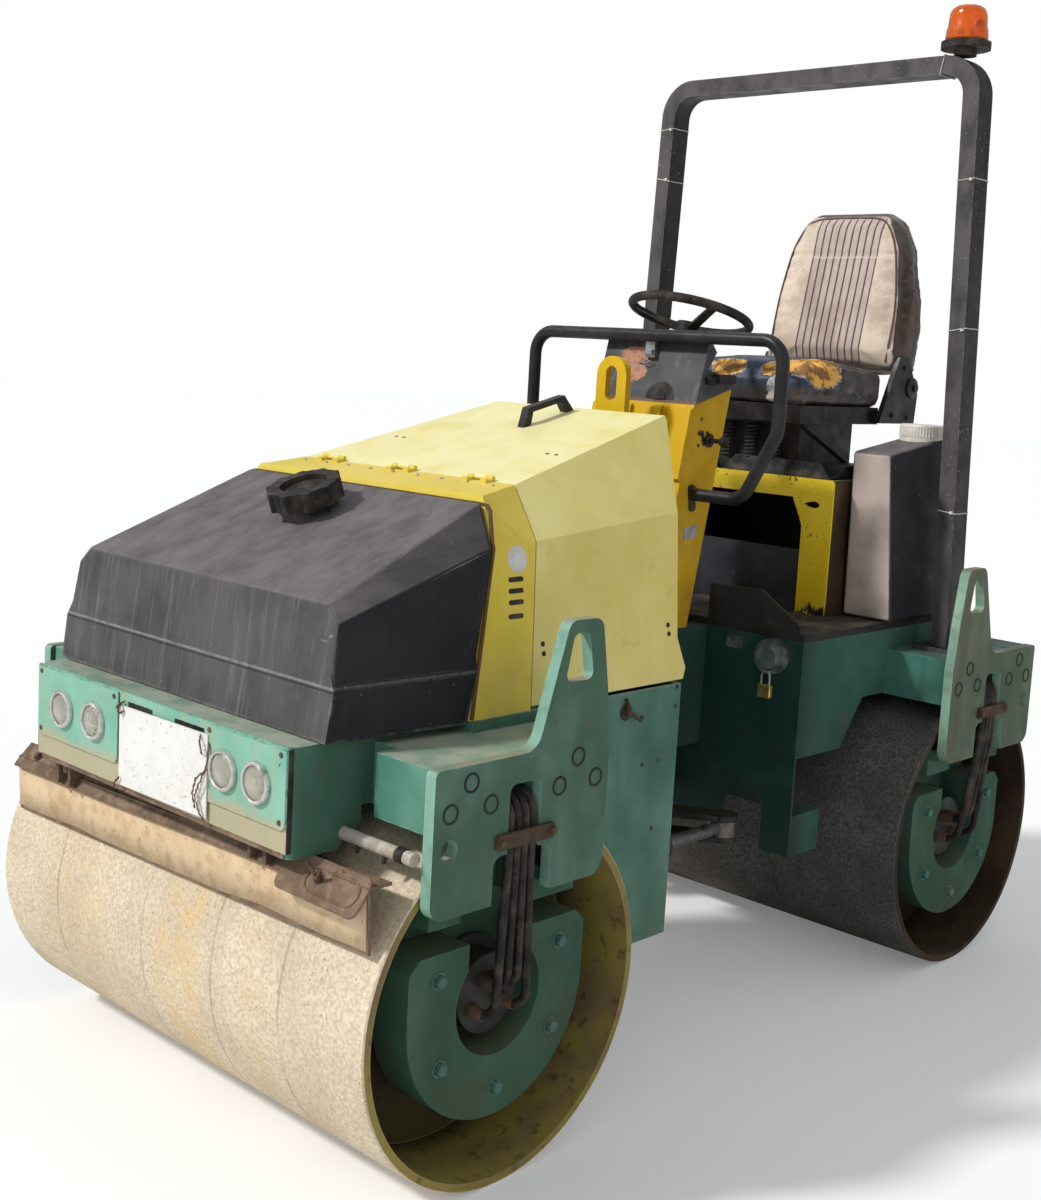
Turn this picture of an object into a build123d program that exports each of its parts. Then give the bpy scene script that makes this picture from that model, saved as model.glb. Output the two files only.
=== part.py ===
from build123d import *
import os
from math import atan2, cos, radians, sin, tan

# Articulated tandem road roller, millimetres. The machine faces -Y, its left side is +X, the ground is z = 0
# and the origin lies midway between the two drum axles. "end" is -1 for the front half and +1 for the rear
# half. "out" is a distance from an axle towards that half's end of the machine, negative towards its middle.

# ---- clearances ----
seat_gap = 0.3            # between two pieces that rest on each other
running_gap = 0.05        # radial, shaft in bore
end_gap = 1.0             # beside a pivoting eye or lug
drum_gap = 9.0            # side plates beside the rolling drums
panel_gap = 5.0           # between opening panels

# ---- drums ----
drum_radius = 375.0
drum_half_width = 650.0
drum_wall = 18.0
half_wheelbase = 917.0
axle_height = drum_radius
bulkhead_x = 430.0
bulkhead_thickness = 16.0
hub_radius = 95.0
hub_half_length = 40.0
stub_radius = 60.0

# ---- side plates with lifting ears ----
plate_thickness = 26.0
plate_inner = drum_half_width + drum_gap
plate_outer = plate_inner + plate_thickness
plate_front_out = 262.0
plate_back_out = -214.0
plate_top = 890.0
plate_bottom = 606.0
ear_top = 1136.0
slot_half_width = 44.0
slot_centre_out = 23.0
slot_top = 834.0
slot_step_height = 700.0
slot_foot_half_width = 80.0
tie_hole_radius = 21.0
tie_hole_out = 220.0
tie_hole_height = 736.0

# ---- horseshoe drum carriers ----
horseshoe_radius = 243.0
horseshoe_top = axle_height + 131.0
horseshoe_bore = 116.0
throat_half_width = 88.0
horseshoe_outer_x = 620.0
horseshoe_thickness = 100.0
web_thickness = 16.0
hanger_height = 636.0
hanger_low = 560.0
motor_radius = 82.0
motor_face_x = 588.0
motor_flange_radius = 104.0

# ---- hoses and their clamps ----
hose_radius = 9.0
hose_pitch = 20.5
hose_start_height = 806.0
hose_bend = 46.0
hose_knee_height = 664.0
hose_knee_bend = 90.0
clamp_height = 728.0
clamp_width = 30.0
clamp_thickness = 8.0

# ---- frames ----
sheet = 8.0
frame_half_width = 480.0
nose_half_width = 450.0
nose_end_out = 402.0
nose_back_out = 236.0
nose_low = 690.0
nose_top = 903.0
deck_low = 768.0
deck_top = 905.0
shoulder_low = 764.0
shoulder_top = plate_top - 2.0
shoulder_front_out = 254.0
shoulder_back_out = -204.0
shoulder_step = 514.0
bay_front = -520.0
bay_back = -255.0
bay_low = 318.0
bay_half_width = 512.0
bay_top = 912.0
firewall_top = 1180.0
rear_wall = 290.0
rear_frame_top = 945.0
rear_wall_low = 500.0
rear_side_low = 640.0
foot_low = 378.0
foot_top = 486.0
foot_inner = 390.0
floor_top = 965.0

# ---- centre joint ----
steer_limit = 30.0
swing_limit = 6.0
swing_height = 535.0
lug_heights = (345.0, 655.0)
lug_thickness = 30.0
lug_radius = 62.0
pivot_pin_radius = 30.0
link_half_width = 70.0
swing_shaft_radius = 52.0
swing_shaft_end = 330.0
bearing_radius = 86.0
bearing_front = 100.0

# ---- steering cylinder ----
barrel_pin = (330.0, -466.0)
rod_pin = (330.0, 205.0)
cylinder_height = 440.0
barrel_radius = 37.0
barrel_length = 420.0
rod_radius = 17.5
eye_radius = 38.0
eye_height = 40.0
cylinder_pin_radius = 15.0
ear_plate = 15.0

# ---- water tank, hood cover and hood ----
tank_half_width = 468.0
tank_low = deck_top + seat_gap
tank_seam = 1008.0
tank_front = -1258.0
tank_back = -926.0         # at the tank's foot; the back leans rearwards by tank_lean
tank_lean = 0.3
tank_shoulder = 1158.0
tank_top = 1343.0
cap_radius = 84.0
cap_y = -946.0
cap_tilt = 20.0
body_wall = 5.0
flange_depth = 48.0
hood_half_width = 508.0
hinge_y = -673.0
hinge_z = tank_top + 26
split_lean = 0.167         # of the joint between cover and hood
hood_low = bay_top + 8
cover_low = bay_top + seat_gap
hinge_places = (-250.0, 0.0, 250.0)
hinge_pin_radius = 3.0
hinge_knuckle_radius = 5.5
hood_back = -95.0

# ---- operator's station ----
wheel_centre = (0.0, 345.0, 1769.0)
wheel_radius = 174.0
wheel_tube = 12.5
wheel_tilt = 15.5
column_radius = 22.0
dash_half_width = 172.0
console_half_width = 168.0
console_front = 110.0
dash_outline = (  # y, z
    (170, 1532), (214, 1706), (247, 1670), (216, 1624), (332, 1600), (326, 1578), (186, 1537))
rail_y = 186.0
rail_radius = 17.0
rail_half_width = 422.0
rail_top = 1706.0
rail_bend = 62.0
seat_x = 22.0
stand_front = 600.0
stand_half_width = 335.0
stand_top = 1342.0
cushion_low = stand_top + 198
pan_low = cushion_low - 48
back_half_width = 222.0
side_tank_top = 1426.0
eye_half_width = 50.0
eye_front = 30.0
eye_back = 50.0
eye_plate_top = 1646.0
rops_y = 865.0
rops_depth = 76.0
rops_thickness = 48.0
rops_top_half_width = 537.0
rops_foot_half_width = frame_half_width + 112
rops_top = 2500.0
rops_bend = 85.0
rops_foot_thickness = 12.0
beacon_x = 468.0
beacon_radius = 66.0

nodes = {}


def block(xs, ys, zs):
    """An upright box from its low and high x, y and z."""
    size = [high - low for low, high in (xs, ys, zs)]
    centre = [(high + low) / 2 for low, high in (xs, ys, zs)]
    return Pos(*centre) * Box(*size)


def prism_x(points, low, high):
    """A (y, z) outline extruded from x = low to x = high."""
    face = make_face(Polyline(*[(low, y, z) for y, z in points], close=True))
    return extrude(face, amount=high - low, dir=(1, 0, 0))


def prism_y(points, low, high):
    """An (x, z) outline extruded from y = low to y = high."""
    face = make_face(Polyline(*[(x, low, z) for x, z in points], close=True))
    return extrude(face, amount=high - low, dir=(0, 1, 0))


def prism_z(points, low, high):
    """An (x, y) outline extruded from z = low to z = high."""
    face = make_face(Polyline(*[(x, y, low) for x, y in points], close=True))
    return extrude(face, amount=high - low, dir=(0, 0, 1))


def rod_x(radius, low, high, y, z):
    return Pos((low + high) / 2, y, z) * Rot(0, 90, 0) * Cylinder(radius, high - low)


def rod_y(radius, low, high, x, z):
    return Pos(x, (low + high) / 2, z) * Rot(90, 0, 0) * Cylinder(radius, high - low)


def rod_z(radius, low, high, x, y):
    return Pos(x, y, (low + high) / 2) * Cylinder(radius, high - low)


def both_sides(shape):
    return shape + mirror(shape, about=Plane.YZ)


def at(end, out):
    """The y of a place that lies "out" from the axle of that end."""
    return end * (half_wheelbase + out)


def span(end, low_out, high_out):
    return tuple(sorted((at(end, low_out), at(end, high_out))))


def outline(end, points):
    """(out, z) points of one end turned into (y, z) points."""
    return [(at(end, out), z) for out, z in points]


def tube_along(points, radius, bends):
    """A round bar along straight runs joined by tangent arcs, one bend radius a corner."""
    path = FilletPolyline(*points, radius=bends)
    start = Plane(origin=path @ 0, z_dir=path % 0)
    return sweep(start * Circle(radius), path=path)


def edges_along(shape, axis):
    return shape.edges().filter_by(axis)


def off_axis(edge, spot):
    """How far an edge along X lies from a point, measured in y and z."""
    return abs(edge.center().Y - spot.Y) + abs(edge.center().Z - spot.Z)


# ---- drums ----

def drum(end):
    """Shell with two bulkheads, each with a bored hub that turns on a motor's stub."""
    y = at(end, 0)
    wide = rod_x(drum_radius, -drum_half_width, drum_half_width, y, axle_height)
    wide = chamfer(wide.edges().filter_by(GeomType.CIRCLE), 3)
    inside = rod_x(drum_radius - drum_wall, -drum_half_width - 1, drum_half_width + 1, y, axle_height)
    shell = wide - inside
    for side in (-1, 1):
        low, high = sorted((side * bulkhead_x, side * (bulkhead_x + bulkhead_thickness)))
        shell += rod_x(drum_radius - drum_wall + 1, low, high, y, axle_height)
        middle = side * (bulkhead_x + bulkhead_thickness / 2)
        shell += rod_x(hub_radius, middle - hub_half_length, middle + hub_half_length, y, axle_height)
        shell -= rod_x(stub_radius + running_gap, middle - 60, middle + 60, y, axle_height)
    return shell


# ---- side plates, carriers, motors and hoses: the same at both ends ----

def side_plates(end):
    """Thick plates beside the drum: a lifting ear above, a hose slot open below."""
    profile = [
        (plate_front_out, plate_bottom), (plate_front_out, plate_top), (-2, plate_top), (-77, ear_top),
        (-172, ear_top - 2), (-199, 985), (plate_back_out, 861), (plate_back_out, plate_bottom),
    ]
    plate = prism_x(outline(end, profile), plate_inner, plate_outer)
    corners = {  # out, z: fillet radius
        (plate_front_out, plate_bottom): 34, (plate_front_out, plate_top): 12, (-2, plate_top): 45,
        (-77, ear_top): 26, (-172, ear_top - 2): 26, (plate_back_out, plate_bottom): 40,
    }
    for (out, z), radius in corners.items():
        spot = Vector(plate_inner, at(end, out), z)
        nearest = edges_along(plate, Axis.X).sort_by(lambda edge: off_axis(edge, spot))
        plate = fillet(nearest[0], radius)
    window = prism_x(outline(end, [(-70, 1014), (-153, 1014), (-134, 1110), (-90, 1108)]),
                     plate_inner - 1, plate_outer + 1)
    plate -= fillet(edges_along(window, Axis.X), 16)
    slot = block((plate_inner - 1, plate_outer + 1),
                 span(end, slot_centre_out - slot_half_width, slot_centre_out + slot_half_width),
                 (slot_step_height - 30, slot_top))
    slot = fillet(edges_along(slot, Axis.X).group_by(Axis.Z)[-1], 18)
    foot = block((plate_inner - 1, plate_outer + 1),
                 span(end, slot_centre_out - slot_foot_half_width, slot_centre_out + slot_foot_half_width),
                 (plate_bottom - 40, slot_step_height))
    foot = fillet(edges_along(foot, Axis.X).group_by(Axis.Z)[-1], 22)
    plate -= slot
    plate -= foot
    plate -= rod_x(tie_hole_radius, plate_inner - 1, plate_outer + 1, at(end, tie_hole_out), tie_hole_height)
    return both_sides(plate)


def carriers(end):
    """Horseshoe castings inside the drum ends, hung from the side plates by two arms each."""
    y = at(end, 0)
    back_x = horseshoe_outer_x - horseshoe_thickness
    shoe = rod_x(horseshoe_radius, back_x, horseshoe_outer_x, y, axle_height)
    arms = block((back_x, horseshoe_outer_x), span(end, -horseshoe_radius, horseshoe_radius),
                 (axle_height, horseshoe_top))
    arms = chamfer(edges_along(arms, Axis.X).group_by(Axis.Z)[-1], 26)
    above = block((back_x - 1, horseshoe_outer_x + 1), span(end, -300, 300), (horseshoe_top, horseshoe_top + 200))
    shoe = shoe + arms - above
    shoe -= rod_x(horseshoe_bore, back_x - 1, horseshoe_outer_x + 1, y, axle_height)
    shoe -= block((back_x - 1, horseshoe_outer_x + 1), span(end, -throat_half_width, throat_half_width),
                  (axle_height, horseshoe_top + 1))
    web_low = back_x - web_thickness
    web = rod_x(horseshoe_radius - 14, web_low, back_x, y, axle_height)
    web += block((web_low, back_x), span(end, -196, 206), (axle_height, hanger_height))
    web -= rod_x(stub_radius + 2, web_low - 1, back_x + 1, y, axle_height)
    hangers = None
    for low_out, high_out in ((-196, -74), (124, 206)):
        arm = block((web_low, plate_inner), span(end, low_out, high_out), (hanger_low, hanger_height))
        arm -= block((horseshoe_outer_x + 6, plate_inner + 1), span(end, -300, 300), (hanger_low - 1, plate_bottom))
        hangers = arm if hangers is None else hangers + arm
    return both_sides(shoe + web + hangers)


def hub_motors(end):
    """Drum motors: a flange on the carrier's web, a round body outside it and the drum's stub inside."""
    y = at(end, 0)
    web_face = horseshoe_outer_x - horseshoe_thickness
    flange = rod_x(motor_flange_radius, web_face, web_face + 14, y, axle_height)
    body = rod_x(motor_radius, web_face + 10, motor_face_x, y, axle_height)
    stub = rod_x(stub_radius, bulkhead_x - hub_half_length, web_face + 5, y, axle_height)
    return both_sides(flange + body + stub)


# out at the slot, out at the motor, height at the motor
hose_ends = ((-30.75, -42.0, 352.0), (-10.25, -14.0, 404.0), (10.25, 16.0, 404.0), (30.75, 44.0, 352.0))


def hoses(end):
    """Four hoses on each side, out of the shoulder box, down behind the clamp and in to the motor."""
    x = plate_outer - hose_radius - seat_gap
    start_x = plate_inner - 58
    mouth_x = motor_face_x + seat_gap
    every = None
    for slot_out, motor_out, motor_height in hose_ends:
        top_y = at(end, slot_centre_out + slot_out)
        low_y = at(end, motor_out)
        route = [(start_x, top_y, hose_start_height), (x, top_y, hose_start_height),
                 (x, top_y, hose_knee_height), (x - 22, low_y, motor_height), (mouth_x, low_y, motor_height)]
        hose = tube_along(route, hose_radius, [hose_bend, hose_knee_bend, hose_bend])
        every = hose if every is None else every + hose
    return both_sides(every)


def hose_clamps(end):
    """Flat bars that hold the hoses in the slots, one across each side plate."""
    reach = slot_half_width + 36
    bar = block((plate_outer, plate_outer + clamp_thickness),
                span(end, slot_centre_out - reach, slot_centre_out + reach),
                (clamp_height - clamp_width / 2, clamp_height + clamp_width / 2))
    bar = fillet(edges_along(bar, Axis.X), 8)
    return both_sides(bar)


def shoulders(end):
    """Boxes over the drum that carry the side plates, set back beside the nose and recessed for the hoses."""
    box = block((shoulder_step, plate_inner), span(end, shoulder_back_out, shoulder_front_out),
                (shoulder_low, shoulder_top))
    front_edges = edges_along(box, Axis.Z).sort_by(lambda edge: -end * edge.center().Y)[:2]
    box = fillet(front_edges.sort_by(Axis.X)[-1], 14)
    box += block((nose_half_width - 5, shoulder_step + 1), span(end, shoulder_back_out, shoulder_front_out - 52),
                 (shoulder_low, shoulder_top))
    recess = block((plate_inner - 60, plate_inner + 1),
                   span(end, slot_centre_out - slot_half_width - 4, slot_centre_out + slot_half_width + 4),
                   (shoulder_low - 1, slot_top + 2))
    return both_sides(box - recess)


def nose(end):
    """The box at the machine's end, open below, its lower inner corner cut away over the drum."""
    profile = [(nose_end_out, nose_low), (nose_end_out, nose_top), (nose_back_out, nose_top),
               (nose_back_out - 6, 738), (nose_back_out + 54, nose_low)]
    outer = prism_x(outline(end, profile), -nose_half_width, nose_half_width)
    outer = fillet(edges_along(outer, Axis.Z).sort_by(lambda e: -end * e.center().Y)[:2], 22)
    return outer - rod_x(spray_radius + seat_gap, -nose_half_width - 1, nose_half_width + 1,
                         at(end, spray_out), spray_height)


spray_radius = 13.0
spray_out = 272.0
spray_height = nose_low + 30


def spray_bar(end):
    reach = plate_inner - 8
    bar = rod_x(spray_radius, -reach, reach, at(end, spray_out), spray_height)
    return bar


def end_panel(end, lamp_table, plate_table, slot_table):
    """Sheet on the end box with raised plates for the lamps, bored for them and slotted."""
    face = nose_end_out + panel_thickness
    panel = block((3 - nose_half_width, nose_half_width - 3), span(end, nose_end_out, face),
                  (nose_low + 12, nose_top - 1))
    for low, high in plate_table:
        raised = block((low, high), span(end, face - 1, face + raised_thickness), (746, nose_top - 4))
        panel += fillet(edges_along(raised, Axis.Y).group_by(Axis.Z)[0], 16)
    for x, z in lamp_table:
        panel -= rod_y(lamp_radius - 4, at(end, nose_end_out) - 20, at(end, nose_end_out) + 20, x, z)
    for low, high in slot_table:
        panel -= block((low, high), span(end, nose_end_out - 1, face + 20), (873, 885))
    return panel


panel_thickness = 5.0
raised_thickness = 4.0
lamp_radius = 42.0
front_lamps = ((-339, 820), (-212, 820), (255, 820), (360, 820))     # x, z
rear_lamps = ((-352, 820), (352, 820))
front_plates = ((-443, -121), (189, 446))                            # low x, high x
rear_plates = ((-443, -250), (250, 443))
panel_slots = ((-89, 2), (80, 182))
scraper_tilt = {-1: -1.5, 1: 0.0}                                    # degrees, by end


def end_lamps(end, lamp_table):
    """Round lamps: a domed lens in a turned bezel."""
    face = at(end, nose_end_out + panel_thickness + raised_thickness)
    every = None
    for x, z in lamp_table:
        back = at(end, nose_end_out)
        low, high = sorted((back, face))
        body = rod_y(lamp_radius - 5, low, high, x, z)
        low, high = sorted((face, face + end * 7))
        body += rod_y(lamp_radius, low, high, x, z)
        low, high = sorted((face + end * 6, face + end * 15))
        lens = rod_y(lamp_radius - 8, low, high, x, z)
        rim = lens.edges().filter_by(GeomType.CIRCLE).sort_by(lambda edge: end * edge.center().Y)[-1]
        body += fillet(rim, 7)
        every = body if every is None else every + body
    return every


def scraper(end):
    """Angle bar hung before the drum with a blade that just clears the shell."""
    half = drum_half_width - 26
    bar = prism_x(outline(end, [(300, 656), (358, 656), (358, 662), (300, 662)]), -half, half)
    blade = prism_x(outline(end, [(351, 661), (358, 661), (353, 536), (346, 536)]), -half, half)
    tilt = Pos(0, 0, 660) * Rot(0, scraper_tilt[end], 0) * Pos(0, 0, -660)
    shape = tilt * (bar + blade)
    for x in (-380.0, 330.0):
        shape += block((x - 20, x + 20), span(end, 330, 350), (642, nose_low - seat_gap))
    return shape


# ---- front frame ----

def front_frame():
    """Nose, deck over the drum, engine bay and the two lugs of the centre pivot."""
    frame = nose(-1)
    deck = block((-nose_half_width, nose_half_width), (at(-1, nose_back_out), -690), (deck_low, deck_top))
    frame += deck + shoulders(-1)
    upper = block((-bay_half_width, bay_half_width), (-700, bay_back), (deck_low, bay_top))
    lower = block((-bay_half_width, bay_half_width), (bay_front, bay_back), (bay_low, deck_low + 1))
    hollow = block((sheet - bay_half_width, bay_half_width - sheet), (-692, bay_back - sheet),
                   (deck_low + sheet, bay_top + 1))
    hollow += block((sheet - bay_half_width, bay_half_width - sheet), (bay_front + sheet, bay_back - sheet),
                    (bay_low + sheet, deck_low + sheet + 1))
    frame += upper + lower
    frame -= hollow
    frame += block((-300, 300), (bay_back - sheet, bay_back), (bay_top - 1, firewall_top))
    frame += block((-bay_half_width, bay_half_width), (tank_back + 4, -690), (shoulder_top, bay_top))
    frame -= block((barrel_pin[0] - 96, barrel_pin[0] + 108), (bay_back - 20, bay_back + 1),
                   (cylinder_height - 52, cylinder_height + 52))
    for z in lug_heights:
        lug = block((-lug_radius, lug_radius), (bay_back - 1, 0), (z - lug_thickness / 2, z + lug_thickness / 2))
        lug += rod_z(lug_radius, z - lug_thickness / 2, z + lug_thickness / 2, 0, 0)
        lug -= rod_z(pivot_pin_radius + running_gap, z - 40, z + 40, 0, 0)
        frame += lug
    x, y = barrel_pin
    for side in (-1, 1):
        low = cylinder_height + side * (eye_height / 2 + end_gap)
        high = low + side * ear_plate
        low, high = min(low, high), max(low, high)
        ear = block((x - 34, x + 34), (bay_front + 1, y), (low, high)) + rod_z(34, low, high, x, y)
        ear -= rod_z(cylinder_pin_radius + running_gap, low - 1, high + 1, x, y)
        frame += ear
    return frame


# ---- tank, cover and hood ----

def half_section(points):
    """Mirrors half an (x, z) section into a closed one."""
    return points + [(-x, z) for x, z in reversed(points)]


def loft_sections(sections):
    """A ruled loft through (y function of z, half section) pairs."""
    faces = []
    for y_of, points in sections:
        corners = [(x, y_of(z), z) for x, z in half_section(points)]
        faces.append(make_face(Polyline(*corners, close=True)))
    return loft(faces, ruled=True)


def water_tank():
    """Moulded tank: flat front, lip round its foot, top rising rearwards, side bevels that widen rearwards."""
    w = tank_half_width
    front = [(w, tank_low), (w + 3, tank_seam - 6), (w - 3, tank_seam + 6), (w - 13, tank_shoulder - 36),
             (w - 50, tank_shoulder)]
    back = [(w + 32, tank_low), (w + 26, tank_seam - 6), (w + 20, tank_seam + 6), (w - 16, tank_top - 94),
            (w - 82, tank_top - 4)]
    tank = loft_sections((
        (lambda z: tank_front + (z - tank_low) * 0.135, front),
        (lambda z: tank_back + (z - tank_low) * tank_lean, back),
    ))
    return fillet([edge for edge in tank.edges() if edge.center().Z > tank_seam + 10], 12) + tank_neck()


def cover_form(shrink):
    """The closed body form behind the tank: sides leaning in to a crease, then bevels up to the top."""
    rows = (  # y, crease half width and height, top half width and height
        (-930, 448, tank_top - 98, 407, tank_top - 20), (hinge_y, 442, tank_top - 89, 353, tank_top + 19),
        (hood_back, 432, tank_top - 37, 284, tank_top + 167),
    )
    sections = []
    for y, side_x, side_z, top_x, top_z in rows:
        half = [(hood_half_width - shrink, cover_low), (side_x - shrink, side_z - shrink * 0.4),
                (top_x - shrink * 0.6, top_z - shrink)]
        sections.append((lambda z, y=y: y, half))
    return loft_sections(sections)


def body_shell():
    inner = cover_form(body_wall)
    low = block((-hood_half_width + body_wall, hood_half_width - body_wall), (-940, hood_back + 10),
                (cover_low - 10, cover_low + 1))
    ends = block((-260, 260), (-945, hood_back + 20), (cover_low - 10, 1290))
    return cover_form(0) - inner - low - ends


def split_line(offset):
    """The (y, z) ends of the leaning joint between cover and hood, moved rearwards by the offset."""
    return [(hinge_y + offset + (z - hinge_z) * split_lean, z) for z in (cover_low - 1, 1420)]


def hood_cover():
    """Fixed strip between tank and hood, its front edge along the tank's leaning back, with the hinge pins."""
    front = [(tank_back + seat_gap + (z - tank_low) * tank_lean, z) for z in (cover_low - 1, 1420)]
    back = split_line(-panel_gap / 2)
    cover = body_shell() & prism_x([front[0], back[0], back[1], front[1]], -600, 600)
    inside = [(y + body_wall, z) for y, z in reversed(front)]
    cover += (cover_form(1) - cover_form(flange_depth)) & prism_x(front + inside, -600, 600)
    for x in hinge_places:
        for side in (-1, 1):
            low, high = sorted((x + side * 20, x + side * 38))
            cover += rod_x(hinge_knuckle_radius, low, high, hinge_y, hinge_z)
            cover += block((low, high), (hinge_y - 24, hinge_y), (hinge_z - 11, hinge_z - 2))
        cover += rod_x(hinge_pin_radius, x - 30, x + 30, hinge_y, hinge_z)
    return cover


def hood():
    """Opening engine cover: bevelled shell, open below and behind, with the hinge knuckles."""
    front = split_line(panel_gap / 2)
    cut = prism_x([(front[0][0], hood_low), front[1], (hood_back, 1530), (hood_back, 1500), (-210, 1298),
                   (-250, 1014), (-230, 944), (-243, hood_low)], -600, 600)
    shell = body_shell() & cut
    for x in hinge_places:
        shell += block((x - 18, x + 18), (hinge_y + 4, hinge_y + 24), (hinge_z - 9, hinge_z - 2))
        shell += rod_x(hinge_knuckle_radius, x - 18, x + 18, hinge_y, hinge_z)
        shell -= rod_x(hinge_pin_radius + running_gap, x - 19, x + 19, hinge_y, hinge_z)
    return shell


# ---- centre joint ----

def pivot_link():
    """Block between the frame's lugs with the upright pin, the swing shaft and the steering arm."""
    low, high = lug_heights[0] + lug_thickness / 2 + end_gap, lug_heights[1] - lug_thickness / 2 - end_gap
    link = rod_z(lug_radius, low, high, 0, 0)
    link += block((-lug_radius, lug_radius), (0, link_half_width), (low, high))
    link += rod_z(pivot_pin_radius, lug_heights[0] - 25, lug_heights[1] + 25, 0, 0)
    link += rod_y(swing_shaft_radius, link_half_width - 1, swing_shaft_end, 0, swing_height)
    link += rod_y(swing_shaft_radius + 22, rear_wall + 12, swing_shaft_end, 0, swing_height)
    x, y = rod_pin
    for side in (-1, 1):
        low = cylinder_height + side * (eye_height / 2 + end_gap)
        high = low + side * ear_plate
        low, high = min(low, high), max(low, high)
        arm = prism_z([(40, -40), (x + 10, y - 38), (x + 10, y + 38), (40, 66)], low, high)
        arm += rod_z(38, low, high, x, y)
        link += arm
    return link


def cylinder_barrel():
    x, y = barrel_pin
    low, high = cylinder_height - eye_height / 2, cylinder_height + eye_height / 2
    eye = rod_z(eye_radius, low, high, x, y) + block((x - 22, x + 22), (y, y + 44), (low, high))
    tube = rod_y(barrel_radius, y + 43, y + barrel_length, x, cylinder_height)
    tube = chamfer(tube.edges().filter_by(GeomType.CIRCLE), 4)
    pin = rod_z(cylinder_pin_radius, cylinder_height - 40, cylinder_height + 40, x, y)
    barrel = eye + tube + pin
    return barrel - rod_y(rod_radius + running_gap, y + 50, y + barrel_length + 1, x, cylinder_height)


def cylinder_rod():
    x, y = rod_pin
    rod = rod_y(rod_radius, barrel_pin[1] + 222, y - 20, x, cylinder_height)
    rod += rod_z(eye_radius, cylinder_height - eye_height / 2, cylinder_height + eye_height / 2, x, y)
    return rod


# ---- rear frame ----

def rear_frame():
    """Front box, side walls cut round the drum, deck, tower for the console, and the tail box."""
    w = frame_half_width
    frame = nose(1)
    frame += block((-w, w), (rear_wall, at(1, nose_back_out)), (deck_low, rear_frame_top))
    frame += shoulders(1)
    for side in (-1, 1):
        wall = prism_x([(rear_wall, rear_side_low), (500, rear_side_low), (530, 680), (562, 725), (600, deck_low + 1),
                        (rear_wall, deck_low + 1)], w - sheet, w)
        corner = prism_y([(w, deck_low + 1), (w, foot_low), (foot_inner, foot_low), (foot_inner, rear_wall_low),
                          (265, rear_wall_low), (265, deck_low + 1)], rear_wall, rear_wall + sheet)
        foot = block((foot_inner, w), (rear_wall, 425), (foot_low, foot_top))
        part = wall + corner + foot
        frame += part if side > 0 else mirror(part, about=Plane.YZ)
    frame += block((-266, 266), (rear_wall, rear_wall + sheet), (430, deck_low + 1))
    half = console_half_width + 2
    tower = block((-half, half), (bearing_front, rear_wall + 1), (620, rear_frame_top))
    tower -= block((12 - half, half - 12), (bearing_front + 12, rear_wall - 12), (610, rear_frame_top - 12))
    frame += tower
    frame += rod_y(bearing_radius, bearing_front, rear_wall + 1, 0, swing_height)
    frame -= rod_y(swing_shaft_radius + running_gap, bearing_front - 1, rear_wall + sheet + 1, 0, swing_height)
    return frame


def platform():
    """Floor plate with its raised toe boards."""
    floor = block((-frame_half_width, frame_half_width), (rear_wall, 1150), (rear_frame_top, floor_top))
    toe = prism_y([(console_half_width + 4, floor_top - 1), (console_half_width + 4, 1058), (340, 1064), (464, 988),
                    (464, floor_top - 1)],
                  rear_wall, rear_wall + 6)
    return floor + both_sides(toe)


def seat_stand():
    """Bent-plate arch under the seat with a closed panel in its lower half."""
    w, low = stand_half_width, floor_top + seat_gap
    body = prism_y([(-w, low), (-w, stand_top), (w, stand_top), (w, low)], stand_front, stand_front + 400)
    body = fillet(edges_along(body, Axis.Y).group_by(Axis.Z)[-1], 12)
    inner = [(10 - w, low - 1), (10 - w, stand_top - 10), (w - 10, stand_top - 10), (w - 10, low - 1)]
    body -= prism_y(inner, stand_front + 8, stand_front + 392)
    window = [(-240, low - 1), (-240, 1210), (-205, 1286), (205, 1286), (240, 1210), (240, low - 1)]
    body -= prism_y(window, stand_front - 1, stand_front + 9)
    slot = [(242, 1270), (256, 1276), (280, 1280), (291, 1275), (294, 1270), (291, 1265), (280, 1260), (256, 1264)]
    body -= both_sides(prism_y(slot, stand_front - 1, stand_front + 9))
    body += block((-242, 242), (stand_front + 7, stand_front + 13), (low, 1140))
    return body


def seat_base():
    """Cross slide, suspension housing, pan under the cushion and the recliner's side brackets."""
    base = block((seat_x - 190, seat_x + 190), (630, 960), (stand_top + seat_gap, stand_top + 30))
    base += block((seat_x - 150, seat_x + 150), (660, 930), (stand_top + 29, pan_low))
    base += block((seat_x - 208, seat_x + 208), (570, 970), (pan_low - 1, cushion_low - seat_gap))
    plate = [(930, 4), (1128, 4), (1136, 92), (1070, 198), (1020, 198), (960, 68)]           # y, height over the pan
    for side in (-1, 1):
        low_x, high_x = sorted((seat_x + side * (back_half_width + seat_gap), seat_x + side * (back_half_width + 16)))
        base += prism_x([(y, pan_low + rise) for y, rise in plate], low_x, high_x)
        low_x, high_x = sorted((seat_x + side * 200, seat_x + side * (back_half_width + 10)))
        base += block((low_x, high_x), (930, 968), (pan_low + 4, pan_low + 32))
    return base


def seat_cushion():
    side = [(546, 0), (540, 66), (574, 106), (720, 120), (976, 96), (982, 0)]                # y, height over the pan
    pad = prism_x([(y, cushion_low + rise) for y, rise in side], seat_x - 222, seat_x + 222)
    return fillet(edges_along(pad, Axis.X), 16)


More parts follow.
